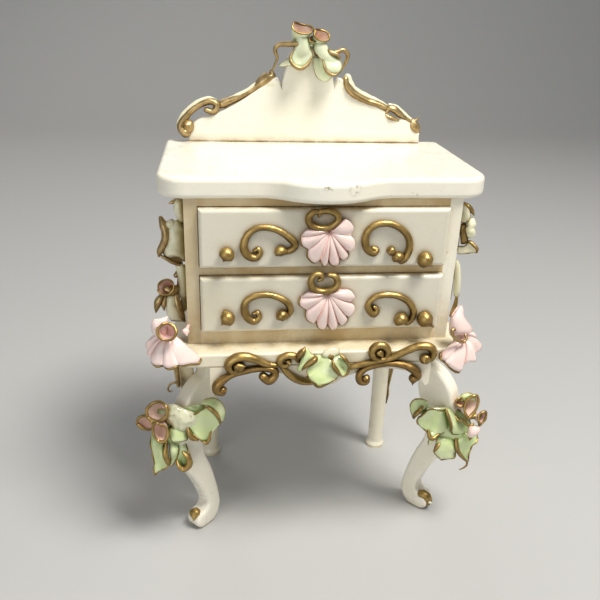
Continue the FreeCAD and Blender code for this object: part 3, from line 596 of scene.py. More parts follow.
# ---------------------------------------------------------------- boards and legs
def paint_boards():
    # The lit and shaded copies of one cream paint below carry painted highlight and painted shade.
    finishes = (
        (("drawer_side", "drawer_back", "drawer_floor"), WOOD),
        (("carcass_floor",), CREAM_FLOOR),
        (("drawer_divider", "top_rail"), CREAM_STAINED_AND_SHADED),
        (("drawer_front",), CREAM_FRONT_SHADED),
        (("side_panel_left",), CREAM_LEFT_SHADED),
        (("side_panel_right",), CREAM_RIGHT_LIT),
        (("top_board", "backsplash"), CREAM_TOP_LIT),
        (("base_board",), CREAM_BASE),
    )
    for name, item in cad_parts.items():
        chosen = CREAM
        for words, finish in finishes:
            if any(word in name for word in words):
                chosen = finish
        item.data.materials.clear()
        item.data.materials.append(chosen.material)
    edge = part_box("top_board")[0].y
    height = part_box("top_board")[1].z
    chips = [
        ((-0.0005, edge + 0.0003, height - 0.0004), 0.0012),
        ((0.0042, edge + 0.0002, height - 0.001), 0.0016), ((0.015, edge + 0.004, height - 0.003), 0.001)]
    add_wear(CREAM_TOP_LIT, chips, PLASTER)


def build_gallery():
    """Shaped back gallery with softened edges and a saw nick beside the crest column."""
    low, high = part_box("backsplash")
    half, rise = high.x / MM, (high.z - low.z) / MM
    right = [
        (half, 0), (half, 2.8), (half - 1.8, 4.3, half - 4.6, 5.3), (14.2, 7.9, 8.8, 11.6),
        (7.6, 12.6, 6.2, 12.9), (5.8, 12.2), (5.5, 10.7), (5.1, 12.8), (4.2, 16.6),
        (3.0, rise - 0.9, 0, rise)]
    side = outline([(0, 0)] + right)[1:]
    points = np.vstack([side, side[-2::-1] * (-1, 1)])
    board = sawn(points, GALLERY_BACK - GALLERY_FACE, edge=0.5,
                 to_space=lambda place, depth: (place[0], GALLERY_FACE + depth, low.z / MM + place[1]))
    piece("cream_gallery", [board], CREAM_TOP_LIT, ["backsplash"])


def leg_frame(side):
    """Start, outward direction and thickness direction of a front leg's sawn plane."""
    low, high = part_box("front_leg_right" if side > 0 else "front_leg_left")
    outer = (high.x if side > 0 else -low.x) / MM
    front = low.y / MM - FRONT
    offset = outer + front
    step = math.sqrt(0.5)
    start = np.array((side * offset / 2, offset / 2, 0))
    return start, np.array((side * step, -step, 0)), np.array((side * step, step, 0))


def build_legs():
    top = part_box("front_leg_left")[1].z / MM
    points = outline([
        (13.1, top), (13.2, 36.2), (LEG_KNEE - 3.2, 34.0, LEG_KNEE - 1.0, 30.2),
        (LEG_KNEE, 24.6, LEG_KNEE - 1.3, 17.2), (16.1, 11.9, 13.7, 5.6), (14.3, 4.2, 15.5, 3.9),
        (16.9, 2.3, 15.3, 0), (12.4, 0), (10.7, 1.9, 10.2, 5.0), (11.3, 10.6, 14.0, 18.2),
        (14.2, 22.6, 12.6, 26.4), (11.5, 29.8, 11.1, 34.0), (11.1, top)])
    for side, name in ((-1, "left"), (1, "right")):
        start, outward, across = leg_frame(side)
        board = sawn(points, LEG_THICK, edge=0.75, to_space=lambda place, depth: start + place[0] * outward
                     + (depth - LEG_THICK / 2) * across + np.array((0, 0, place[1])))
        piece("cream_front_leg_" + name, [board], CREAM_LEG_LIT, ["front_leg_" + name])


# ---------------------------------------------------------------- trim on the drawers
def laid(rows, face, lift=0.8):
    """Turns rows of x, z, radius into a rope lying on a face."""
    return [(x, face - lift * radius, z, radius) for x, z, radius in rows]


def bead_on(x, z, radius, nib_x, nib_z):
    """Bead on a drawer front with its nib pulled aside."""
    return drop((x, DRAWER_FACE - 0.62 * radius, z), radius, (nib_x, DRAWER_FACE - 1.1, nib_z))


def build_drawer_scrolls():
    scrolls = {
        "upper_scroll_left": (
            [
                (-12.5, 63.7, 0.36), (-11.9, 64.0, 0.42), (-11.5, 63.3, 0.52), (-12.3, 62.5, 0.62),
                (-13.6, 62.9, 0.7), (-14.3, 64.1, 0.72), (-14.2, 65.6, 0.66), (-13.5, 66.9, 0.6),
                (-12.1, 67.8, 0.56), (-10.4, 67.9, 0.54), (-8.5, 67.4, 0.56), (-6.8, 66.3, 0.62),
                (-5.6, 65.1, 0.66), (-5.7, 64.3, 0.62), (-6.5, 63.7, 0.56), (-7.4, 63.6, 0.5)],
            (-8.0, 63.6, 1.16, -7.9, 62.9)),
        "upper_scroll_right": (
            [
                (8.3, 64.0, 0.4), (9.0, 63.6, 0.5), (8.4, 63.1, 0.6), (7.2, 64.0, 0.66), (6.8, 65.7, 0.68),
                (7.3, 67.4, 0.64), (8.8, 68.4, 0.58), (10.9, 68.5, 0.56), (13.0, 67.6, 0.58),
                (14.5, 66.0, 0.6), (14.9, 64.1, 0.62), (14.4, 62.3, 0.62), (13.6, 61.5, 0.55)],
            (12.9, 62.3, 1.12, 13.1, 61.5)),
        "lower_scroll_left": (
            [
                (-12.6, 51.7, 0.36), (-11.9, 51.9, 0.44), (-11.6, 51.0, 0.54), (-12.6, 50.3, 0.62),
                (-13.8, 51.1, 0.66), (-14.3, 52.8, 0.66), (-13.9, 54.3, 0.62), (-12.4, 55.2, 0.58),
                (-10.4, 55.4, 0.55), (-8.3, 54.9, 0.56), (-6.6, 53.8, 0.6), (-6.0, 52.4, 0.6),
                (-6.4, 51.3, 0.5)],
            (-7.5, 51.3, 1.2, -7.4, 50.4)),
        "lower_scroll_right": (
            [
                (9.4, 52.6, 0.4), (10.0, 52.0, 0.52), (9.5, 51.2, 0.62), (8.6, 51.9, 0.62),
                (8.3, 53.3, 0.6), (9.5, 54.6, 0.58), (11.6, 55.0, 0.56), (14.0, 54.6, 0.58),
                (15.9, 53.4, 0.6), (16.9, 51.6, 0.62), (16.7, 50.0, 0.58), (15.9, 49.2, 0.5)],
            (14.6, 50.1, 1.38, 15.0, 49.2)),
    }
    for name, (rows, (x, z, radius, nib_x, nib_z)) in scrolls.items():
        parts = [tube(laid(rows, DRAWER_FACE), ridge=0.07, ridges=4, seed=len(name))]
        parts.append(bead_on(x, z, radius, nib_x, nib_z))
        if name == "upper_scroll_right":
            parts.append(bead_on(11.6, 63.5, 0.85, 11.0, 63.2))
        body = name.split("_")[0] + "_drawer"
        piece("gilt_" + name, parts, GOLD, [name], body)


def build_drawer_beads():
    beads = {
        "upper": [(-17.3, 63.2, 1.35, -17.9, 62.0), (17.9, 61.9, 1.5, 19.4, 60.6)],
        "lower": [(-17.3, 51.1, 1.35, -18.5, 49.9), (19.1, 50.2, 1.55, 21.0, 48.4)],
    }
    for name, rows in beads.items():
        parts = [bead_on(*row) for row in rows]
        if name == "lower":
            parts.append(drop((-17.6, DRAWER_FACE - 0.7, 51.9), 0.75, (-17.9, DRAWER_FACE - 0.9, 53.1)))
        piece(f"gilt_{name}_beads", parts, GOLD, [name + "_beads"], name + "_drawer")


def build_pulls():
    """Coiled gilt ring and pleated pink shell in the middle of each drawer."""
    rings = {
        "upper": [
            (-1.6, 70.1, 0.3), (-1.5, 70.7, 0.42), (-2.5, 70.8, 0.56), (-3.4, 69.9, 0.62),
            (-3.0, 68.6, 0.62), (-1.3, 67.9, 0.6), (0.5, 68.2, 0.6), (1.6, 69.2, 0.6), (1.5, 70.3, 0.6),
            (0.2, 71.0, 0.6), (-1.4, 70.9, 0.5)],
        "lower": [
            (-1.2, 58.3, 0.34), (-0.6, 58.7, 0.42), (-0.9, 59.4, 0.5), (-2.0, 59.3, 0.56),
            (-2.6, 58.0, 0.62), (-2.0, 56.7, 0.64), (-0.1, 56.1, 0.64), (1.7, 56.7, 0.64),
            (2.3, 57.9, 0.62), (1.7, 59.0, 0.56), (0.7, 59.3, 0.42)],
    }
    ring_gap = 0.9
    y = DRAWER_FACE - 0.5
    shells = {
        "upper": (
            (0.4, y, 67.3),
            ribs_from(
                (-1.6, 68.0), [(-3.6, 67.6), (-4.5, 66.4)], [(-4.4, 65.2), (-3.2, 64.2)],
                [(-3.2, 62.8), (-2.0, 61.7), (-1.0, 62.2)], [(-0.4, 61.2), (0.2, 61.5), (0.3, 62.5)],
                [(0.9, 61.4), (2.0, 61.3), (2.4, 62.5)], [(3.1, 62.2), (3.8, 62.9), (3.5, 63.8)],
                [(4.6, 64.0), (4.8, 65.6), (4.1, 66.6)], [(4.4, 68.2), (3.1, 69.5), (1.8, 68.6)])),
        "lower": (
            (0.7, y, 55.6),
            ribs_from(
                (-1.2, 56.3), [(-3.0, 56.0), (-4.1, 54.9)], [(-4.4, 53.8), (-3.1, 52.6)],
                [(-3.1, 51.1), (-1.9, 50.0), (-1.2, 50.3)], [(-0.8, 49.1), (0.3, 48.7), (0.9, 49.6)],
                [(1.6, 48.6), (2.5, 48.8), (2.8, 49.9)], [(3.6, 49.4), (4.4, 50.4), (4.1, 51.3)],
                [(5.2, 51.3), (5.7, 52.9), (4.9, 53.8)], [(5.5, 55.0), (4.6, 56.2), (2.6, 56.4)])),
    }
    for name, rows in rings.items():
        route = laid(rows, DRAWER_FACE - ring_gap, lift=0.3)
        ring = tube(route, ridge=0.05, seed=2.0)
        piece(f"gilt_{name}_ring", [ring], GOLD, [name + "_pull_ring"], name + "_drawer")
    for name, (hinge, flat_ribs) in shells.items():
        ribs = [[(x, y - 0.35 * lump((x, 0, z), 0.5, 3.0), z) for x, z in rib] for rib in flat_ribs]
        solid, lines = shell(hinge, ribs, TOWARDS_VIEWER, rise=0.6, dome=0.9, root=0.02)
        body = name + "_drawer"
        piece(f"pink_{name}_shell", [solid], PINK, [name + "_pull_shell"], body)
        piece(f"gilt_{name}_shell_rim", rim_ropes(lines[1:6], radius=0.2), GOLD, body=body)


# ---------------------------------------------------------------- trim on the cabinet
def build_apron_trim():
    face, swell = BASE_FACE, 1.16
    ropes = {
        "apron_upper_scroll_left": [[
            (-15.0, 43.0, 0.5), (-16.2, 41.9, 0.55), (-17.1, 42.4, 0.66), (-17.1, 43.6, 0.74),
            (-15.9, 44.6, 0.76), (-14.3, 44.8, 0.74), (-12.7, 44.3, 0.68), (-11.1, 43.4, 0.6),
            (-9.6, 42.8, 0.52), (-8.3, 42.7, 0.42)]],
        "apron_lower_scroll_left": [[
            (-11.0, 40.6, 0.75), (-10.0, 39.8, 0.8), (-9.0, 40.6, 0.74), (-9.0, 41.6, 0.66),
            (-10.2, 42.2, 0.58), (-12.6, 42.1, 0.54), (-14.4, 41.7, 0.54), (-16.4, 41.2, 0.56),
            (-18.0, 40.3, 0.66), (-19.3, 39.1, 0.8), (-19.4, 38.0, 0.74), (-18.5, 37.4, 0.6)]],
        "apron_upper_scroll_right": [[
            (3.4, 41.4, 0.34), (5.0, 41.8, 0.44), (7.5, 42.4, 0.52), (10.1, 43.1, 0.56), (12.4, 43.6, 0.58),
            (14.4, 44.5, 0.6), (16.0, 45.3, 0.62), (17.7, 45.9, 0.64), (19.5, 45.8, 0.7), (20.5, 44.8, 0.7),
            (20.4, 43.5, 0.6), (19.6, 42.8, 0.5)]],
        "apron_lower_scroll_right": [[
            (8.4, 39.6, 0.5), (8.3, 38.7, 0.56), (7.2, 38.8, 0.6), (6.9, 40.2, 0.6), (7.9, 41.5, 0.58),
            (10.0, 42.2, 0.56), (12.7, 42.5, 0.58), (15.4, 42.0, 0.66), (17.2, 41.0, 0.78),
            (18.0, 39.8, 0.74), (17.4, 38.9, 0.6)]],
        "apron_coils": [
            [
                (-6.4, 43.1, 0.34), (-6.9, 42.5, 0.46), (-7.9, 43.0, 0.56), (-7.8, 44.1, 0.6),
                (-6.7, 44.7, 0.58), (-5.2, 44.5, 0.54), (-4.6, 43.6, 0.46)],
            [
                (-7.6, 42.4, 0.4), (-6.6, 41.0, 0.52), (-5.2, 39.9, 0.6), (-3.6, 39.2, 0.6),
                (-2.2, 38.9, 0.5)],
            [
                (10.4, 43.3, 0.52), (9.3, 43.9, 0.58), (8.9, 45.2, 0.62), (9.7, 46.2, 0.62),
                (11.0, 46.2, 0.62), (11.9, 45.2, 0.6), (11.8, 43.9, 0.5)]],
    }
    beads = {
        "apron_upper_scroll_left": drop((-15.3, face - 1.0, 43.0), 1.0, (-14.2, face - 1.9, 43.5), 1.2),
        "apron_lower_scroll_left": drop((-18.3, face - 0.6, 37.9), 0.8, (-17.6, face - 1.2, 38.0)),
        "apron_upper_scroll_right": drop((19.0, face - 0.9, 43.4), 1.05, (18.6, face - 2.0, 43.0)),
        "apron_lower_scroll_right": drop((17.3, face - 0.7, 39.2), 0.9, (17.2, face - 0.9, 37.7)),
    }
    for name, groups in ropes.items():
        thicker = [[(x, z, swell * radius) for x, z, radius in rows] for rows in groups]
        parts = [tube(laid(rows, face, lift=0.85), seed=len(name)) for rows in thicker]
        if name == "apron_coils":
            parts.append(drop((10.4, face - 0.5, 44.8), 0.85, (10.9, face - 1.5, 44.2)))
            parts.append(drop((-6.4, face - 0.4, 43.4), 0.6, (-6.2, face - 1.2, 43.2)))
        if name in beads:
            parts.append(beads[name])
        if name == "apron_lower_scroll_right":
            parts.append(drop((8.2, face - 0.7, 39.5), 0.75, (8.3, face - 1.5, 39.7)))
        # The lower scrolls get the darker gilding as painted shade.
        piece("gilt_" + name, parts, GOLD_SHADED if "lower" in name else GOLD, [name])


def build_apron_bow():
    """Green leaf bow: a narrow curl, a broad folded leaf and a hollow leaf, with gilt folds between them."""
    made = [
        sheet([
            ((-3.6, -5.0, 46.1), (-3.5, -5.2, 46.4), (-3.4, -5.2, 46.4)),
            ((-4.1, -5.4, 44.4), (-3.3, -5.9, 45.1), (-2.5, -5.4, 45.3)),
            ((-4.5, -5.6, 43.0), (-3.4, -6.2, 44.1), (-1.9, -6.0, 44.7)),
            ((-4.7, -5.7, 42.2), (-4.2, -6.3, 43.0), (-3.0, -6.4, 44.1)),
            ((-4.5, -6.0, 41.9), (-4.2, -6.2, 42.2), (-3.9, -6.3, 42.7))], thick=0.7),
        sheet([
            ((-1.5, -5.0, 44.8), (-0.3, -4.8, 44.5), (0.7, -5.0, 44.3)),
            ((-1.5, -6.2, 44.2), (-0.2, -5.3, 43.5), (1.4, -6.2, 43.7)),
            ((-2.9, -6.8, 43.1), (-0.6, -5.8, 42.4), (1.5, -6.7, 43.0)),
            ((-3.2, -7.2, 42.1), (-0.8, -6.3, 41.6), (2.5, -7.0, 41.5)),
            ((-3.0, -7.3, 41.4), (-0.9, -6.8, 40.8), (2.2, -7.1, 40.9)),
            ((-2.0, -7.3, 40.4), (-1.0, -7.0, 40.1), (0.9, -7.2, 40.1)),
            ((-1.2, -7.2, 39.6), (-0.9, -7.2, 39.5), (-0.4, -7.2, 39.6))], thick=0.7, ruffle=0.2),
        sheet([
            ((1.7, -5.0, 44.2), (2.2, -5.2, 44.4), (2.9, -5.0, 44.5)),
            ((1.5, -6.4, 43.7), (2.5, -5.7, 43.5), (3.9, -6.0, 43.7)),
            ((1.7, -6.8, 43.1), (3.2, -5.7, 42.5), (4.6, -6.2, 42.8)),
            ((2.4, -6.9, 42.1), (3.6, -6.0, 41.8), (4.4, -6.4, 41.7)),
            ((3.2, -6.8, 41.1), (3.4, -6.7, 41.0), (3.7, -6.6, 41.0))], thick=0.7)]
    folds = [
        tube([
            (-3.6, -5.8, 46.6, 0.2), (-4.0, -6.0, 46.0, 0.6), (-4.5, -6.0, 45.3, 0.6),
            (-4.8, -5.8, 44.5, 0.3)]),
        tube([
            (-1.7, -6.6, 44.9, 0.42), (-2.2, -7.0, 44.6, 0.56), (-2.9, -7.1, 44.2, 0.48),
            (-3.5, -6.9, 43.5, 0.4), (-4.1, -6.5, 42.6, 0.22)]),
        tube([
            (1.4, -6.6, 44.3, 0.18), (1.6, -7.1, 43.4, 0.4), (2.3, -7.2, 42.4, 0.38),
            (3.0, -6.9, 41.3, 0.2)]),
        tube([
            (2.9, -5.9, 45.0, 0.2), (3.7, -6.3, 44.4, 0.34), (4.4, -6.5, 43.3, 0.3),
            (4.6, -6.5, 42.4, 0.26), (4.2, -6.6, 41.4, 0.24), (3.6, -6.7, 40.9, 0.14)]),
        tube([
            (-3.2, -6.9, 41.2, 0.18), (-2.1, -7.0, 40.2, 0.3), (-1.0, -7.0, 39.3, 0.44),
            (0.6, -6.9, 39.8, 0.34), (2.2, -6.8, 40.7, 0.2)]),
        tube([
            (1.3, BASE_FACE + 0.6, 44.5, 0.7), (1.3, BASE_FACE - 0.6, 44.5, 0.7), (1.2, -5.2, 44.4, 0.6)])]
    piece("green_apron_bow", [leaf[0] for leaf in made], GREEN, ["apron_bow"])
    piece("gilt_apron_bow_edges", folds + [edging(leaf[1], radius=0.12) for leaf in made], GOLD)
    paste = sheet([
        ((0.2, -4.6, 45.4), (1.6, -4.8, 46.0), (3.0, -4.6, 45.6)),
        ((-0.4, -5.0, 44.7), (1.2, -5.4, 45.0), (2.8, -5.0, 44.9)),
        ((-0.2, -5.0, 44.1), (1.0, -5.3, 44.1), (2.2, -5.0, 44.2))], thick=0.4, lumpy=0.1)
    piece("pale_apron_bow_paste", [paste[0]], PASTE)


def build_corner_trim():
    """Pink pleated shells over the base board's front corners."""
    left = ribs_from(
        (-29.2, -2.0, 49.0), [(-31.0, -2.4, 47.4), (-31.7, -2.8, 46.4), (-31.5, -3.2, 45.5)],
        [(-31.4, -3.8, 45.0), (-30.9, -4.2, 44.7)],
        [(-30.7, -4.8, 44.1), (-29.9, -5.4, 43.7), (-28.8, -5.8, 44.0)],
        [(-28.0, -6.2, 43.6), (-27.1, -6.3, 43.7), (-26.2, -6.1, 44.1)],
        [(-25.2, -6.0, 43.9), (-23.9, -5.6, 44.0), (-22.6, -5.1, 43.8), (-22.3, -4.6, 44.7)])
    solid, lines = shell(
        (-26.9, -2.2, 48.6), left, (-0.4, -0.75, 0.55), rise=0.55, dome=1.3, lip=0.1, thick=1.0)
    bud = drop((-24.7, -2.6, 48.9), 0.55, (-24.5, -3.2, 48.2), 1.3)
    stem = tube([(-24.7, -2.4, 48.9, 0.35), (-24.5, -1.0, 48.8, 0.35), (-24.2, 0.8, 48.7, 0.35)])
    piece("pink_corner_shell_left", [solid, bud, stem], PINK, ["corner_shell_left"])
    piece("gilt_corner_shell_left_rim", rim_ropes(lines[2:], radius=0.22), GOLD)
    right = ribs_from(
        (22.3, -4.8, 44.3), [(22.0, -5.2, 43.3), (22.8, -5.8, 43.0)],
        [(23.7, -6.2, 41.8), (25.4, -6.2, 40.9), (26.2, -5.8, 41.9)],
        [(26.7, -5.6, 42.6), (28.6, -5.0, 42.3), (28.6, -4.6, 43.8)],
        [(29.6, -4.0, 44.2), (29.8, -3.6, 45.2), (28.8, -3.4, 46.1)],
        [(28.7, -3.0, 46.8), (28.4, -2.8, 47.6)])
    solid, lines = shell(
        (26.0, -2.6, 46.9), right, (0.4, -0.8, 0.45), rise=0.8, dome=1.3, lip=0.2, thick=1.0, root=0.05)
    horn, _ = sheet([
        ((25.5, -2.4, 52.6), (25.7, -2.5, 52.8), (26.0, -2.4, 52.6)),
        ((24.5, -2.8, 51.3), (25.0, -3.4, 51.8), (26.2, -2.8, 50.8)),
        ((23.9, -3.0, 50.2), (24.6, -4.2, 50.9), (27.1, -3.0, 49.7)),
        ((23.8, -3.0, 48.4), (24.9, -4.6, 49.4), (28.2, -3.0, 48.5)),
        ((24.1, -3.0, 46.9), (25.2, -4.6, 47.8), (28.5, -3.0, 47.2))], thick=1.0)
    piece("pink_corner_shell_right", [solid, horn], PINK, ["corner_shell_right"])
    piece("gilt_corner_shell_right_rim", rim_ropes(lines[:2], radius=0.22), GOLD)
    curl = tube([
        (26.2, -5.2, 48.1, 0.24), (26.4, -5.5, 47.5, 0.28), (25.8, -5.8, 47.0, 0.32),
        (24.7, -5.9, 47.4, 0.34), (23.8, -5.7, 48.1, 0.32), (23.5, -5.3, 48.9, 0.3),
        (24.0, -4.9, 49.2, 0.3), (24.9, -4.4, 48.6, 0.24)])
    piece("gilt_corner_curl_right", [curl], GOLD_PALE, ["corner_curl_right"])
    outside, lining, rim = rose(
        (-27.7, -5.9, 50.6), (0.1, -0.86, 0.5), rim=1.6, depth=2.6, spin=20, oval=0.95, rim_radius=0.24)
    neck, _ = sheet([
        ((-30.0, -3.4, 51.9), (-29.0, -3.6, 52.0), (-27.6, -3.0, 52.2)),
        ((-30.5, -3.4, 50.6), (-29.3, -4.2, 50.6), (-27.8, -4.0, 50.6)),
        ((-30.2, -3.0, 48.8), (-29.2, -3.6, 48.6), (-27.8, -3.6, 48.4))], thick=1.2)
    piece("pink_corner_rose_left", [outside, neck], PINK, ["corner_rose_left"])
    piece("rose_corner_rose_left_lining", [lining], PINK)
    piece("gilt_corner_rose_left_rim", [rim], GOLD)


def rose_group(name, cups, skin=PINK):
    """Roses of one cluster as three pieces: outsides, linings and gilt rims."""
    made = [rose(**cup) for cup in cups]
    piece("pink_" + name, [cup[0] for cup in made], skin, [name])
    piece("rose_" + name + "_linings", [cup[1] for cup in made], ROSE)
    piece("gilt_" + name + "_rims", [cup[2] for cup in made], GOLD)


def leaf_group(name, leaves, extra_gilt, enamel=GREEN, rim=0.16, gilt=GOLD):
    """Leaves of one cluster as two pieces: the enamelled leaves and their gilt edges."""
    made = [sheet(**leaf) for leaf in leaves]
    piece("green_" + name, [leaf[0] for leaf in made], enamel, [name])
    edges = [edging(leaf[1], radius=rim, seed=number) for number, leaf in enumerate(made)] + extra_gilt
    piece("gilt_" + name + "_edges", edges, gilt)


def build_leg_trim():
    rose_group("leg_roses_left", [
        dict(
            centre=(-30.6, -2.8, 32.4), direction=(-0.36, -0.8, 0.3), rim=2.3, depth=3.2, spin=-35,
            oval=0.8),
        dict(
            centre=(-33.0, -2.0, 29.4), direction=(-0.55, -0.82, 0.1), rim=2.0, depth=2.8, spin=-20,
            oval=0.72),
        dict(
            centre=(-30.1, -4.2, 28.7), direction=(-0.15, -0.98, 0.05), rim=2.1, depth=3.0, spin=70,
            oval=0.66),
    ])
    rose_group("leg_roses_right", [
        dict(
            centre=(31.4, -1.1, 29.6), direction=(0.3, -0.9, 0.25), rim=2.5, depth=3.2, spin=-70, oval=0.6),
        dict(
            centre=(34.4, -0.5, 26.3), direction=(0.45, -0.85, 0.2), rim=1.4, depth=2.2, spin=-60, oval=0.8),
        dict(
            centre=(29.3, -0.5, 30.4), direction=(-0.1, -0.9, 0.35), rim=1.0, depth=1.8, spin=10,
            rim_radius=0.2),
    ])
    petal, lines = sheet([
        ((31.4, -1.5, 25.3), (31.2, -1.9, 24.3), (31.1, -1.5, 23.7)),
        ((32.0, -2.1, 25.6), (31.7, -2.8, 24.3), (31.6, -2.1, 23.0)),
        ((32.8, -2.1, 25.5), (32.6, -2.7, 24.5), (32.4, -2.1, 23.3)),
        ((33.6, -1.7, 24.9), (33.5, -2.0, 24.6), (33.2, -1.7, 24.0))], thick=0.8)
    piece("pink_leg_petal_right", [petal], PINK)
    stalk = tube([(34.2, 0.6, 26.4, 0.6), (33.2, 0.4, 26.2, 0.6), (31.6, 0.4, 26.0, 0.5)])
    piece(
        "gilt_leg_petal_right_edge",
        [stalk, edging(lines, radius=0.14), drop((31.7, -2.4, 23.0), 0.4, (31.5, -2.6, 22.3))],
        GOLD)
    leaf_group("leg_leaves_left", [
        dict(rows=[
            ((-30.7, -0.8, 31.4), (-26.8, -1.0, 31.6), (-21.9, -1.0, 32.7)),
            ((-30.7, -1.0, 29.0), (-26.4, -1.4, 28.7), (-21.7, -1.6, 29.4)),
            ((-30.5, -1.2, 25.9), (-27.2, -1.6, 25.7), (-24.8, -1.6, 27.1)),
            ((-29.7, -1.2, 23.8), (-27.9, -1.6, 23.6), (-26.2, -1.2, 23.8))], thick=1.2, lumpy=0.3),
        dict(rows=[
            ((-22.7, -1.6, 32.7), (-22.3, -2.0, 33.3), (-22.1, -1.8, 33.9)),
            ((-21.1, -3.4, 33.7), (-20.7, -3.2, 34.2), (-20.1, -2.2, 34.4)),
            ((-20.2, -3.8, 32.8), (-19.5, -3.4, 33.2), (-18.7, -1.9, 33.3)),
            ((-19.5, -3.8, 31.7), (-18.8, -3.2, 31.7), (-18.0, -1.6, 31.1)),
            ((-19.1, -3.5, 30.6), (-18.7, -2.9, 30.3), (-18.2, -1.6, 29.7)),
            ((-18.8, -2.8, 29.4), (-18.7, -2.6, 29.3), (-18.6, -2.4, 29.1))], facing=(0.4, -0.9, 0.3)),
        dict(rows=[
            ((-25.5, -1.4, 30.4), (-25.5, -1.8, 29.7), (-25.5, -1.6, 28.5)),
            ((-23.7, -2.4, 31.3), (-24.3, -2.5, 29.5), (-24.8, -3.0, 27.9)),
            ((-22.3, -3.0, 32.4), (-22.9, -2.6, 29.4), (-23.5, -3.6, 26.8)),
            ((-21.1, -3.8, 33.4), (-21.7, -2.6, 29.2), (-22.2, -3.7, 25.7)),
            ((-19.8, -4.0, 32.1), (-20.6, -2.9, 28.5), (-21.3, -3.8, 25.7)),
            ((-19.2, -3.8, 30.5), (-20.0, -3.2, 28.6), (-20.9, -3.3, 27.3)),
            ((-19.0, -3.2, 29.2), (-19.2, -3.1, 29.0), (-19.5, -3.0, 28.8))], ruffle=0.25),
        dict(rows=[
            ((-27.8, -1.2, 28.8), (-26.5, -1.8, 28.8), (-25.3, -1.2, 28.3)),
            ((-28.5, -2.3, 27.8), (-26.8, -2.8, 27.8), (-25.3, -2.3, 27.0)),
            ((-28.6, -2.9, 26.7), (-27.0, -3.2, 26.6), (-25.4, -2.7, 25.9)),
            ((-28.0, -3.2, 25.8), (-27.2, -3.3, 25.7), (-26.4, -3.2, 25.6))], ruffle=0.25, waves=1.5),
        dict(rows=[
            ((-32.3, -1.2, 26.3), (-30.8, -1.8, 26.3), (-29.6, -1.4, 25.3)),
            ((-32.1, -2.6, 24.2), (-31.0, -2.9, 24.2), (-29.9, -2.6, 23.7)),
            ((-31.9, -3.0, 21.9), (-30.8, -2.6, 21.7), (-29.7, -3.3, 21.9)),
            ((-31.8, -3.3, 19.9), (-30.6, -2.8, 19.7), (-29.2, -3.7, 20.1)),
            ((-31.9, -3.0, 17.9), (-31.5, -3.0, 18.3), (-30.9, -3.0, 18.9))], facing=(-0.3, -0.95, 0.1),
            ruffle=0.2),
        dict(rows=[
            ((-28.7, -1.4, 24.8), (-28.0, -1.8, 25.0), (-27.2, -1.4, 24.6)),
            ((-28.7, -2.6, 23.1), (-27.9, -3.1, 23.5), (-27.1, -2.6, 23.3)),
            ((-28.6, -2.9, 21.3), (-28.2, -2.6, 21.2), (-27.5, -2.9, 21.4)),
            ((-28.9, -2.6, 19.6), (-28.7, -2.6, 19.5), (-28.5, -2.6, 19.5))]),
        dict(rows=[
            ((-27.4, -1.2, 24.6), (-26.6, -1.6, 24.7), (-25.9, -1.2, 24.3)),
            ((-27.5, -2.4, 22.7), (-26.4, -2.5, 22.9), (-25.2, -3.0, 23.2)),
            ((-27.4, -3.2, 21.2), (-26.1, -2.6, 21.1), (-24.6, -3.9, 21.9)),
            ((-27.1, -3.8, 20.0), (-26.2, -3.1, 19.7), (-25.2, -3.9, 20.1)),
            ((-26.5, -3.7, 19.1), (-26.2, -3.5, 19.1), (-25.9, -3.7, 19.2))]),
    ], extra_gilt=[
        tube([
            (-21.2, -4.0, 33.8, 0.14), (-20.6, -4.2, 33.3, 0.35), (-19.8, -4.3, 32.5, 0.43),
            (-19.3, -4.2, 31.5, 0.37), (-18.9, -3.6, 29.9, 0.21)]),
        tube([
            (-25.1, -3.2, 28.6, 0.23), (-24.8, -3.5, 27.7, 0.49), (-24.3, -3.7, 26.7, 0.51),
            (-23.3, -3.8, 26.2, 0.25)]),
        tube([
            (-22.2, -3.9, 25.8, 0.19), (-21.6, -4.0, 25.6, 0.35), (-21.1, -4.0, 26.4, 0.33),
            (-20.9, -3.6, 27.4, 0.16)]),
        tube([
            (-29.3, -2.4, 25.0, 0.31), (-29.5, -3.3, 23.1, 0.58), (-29.2, -3.4, 21.3, 0.53),
            (-28.9, -3.0, 20.2, 0.21)]),
        tube([
            (-26.2, -3.6, 23.4, 0.25), (-25.5, -3.9, 22.7, 0.43), (-25.0, -4.0, 21.7, 0.6),
            (-25.2, -4.1, 20.5, 0.64), (-26.2, -4.0, 19.7, 0.58), (-27.1, -3.9, 20.5, 0.43),
            (-27.4, -3.4, 21.3, 0.21)]),
    ])
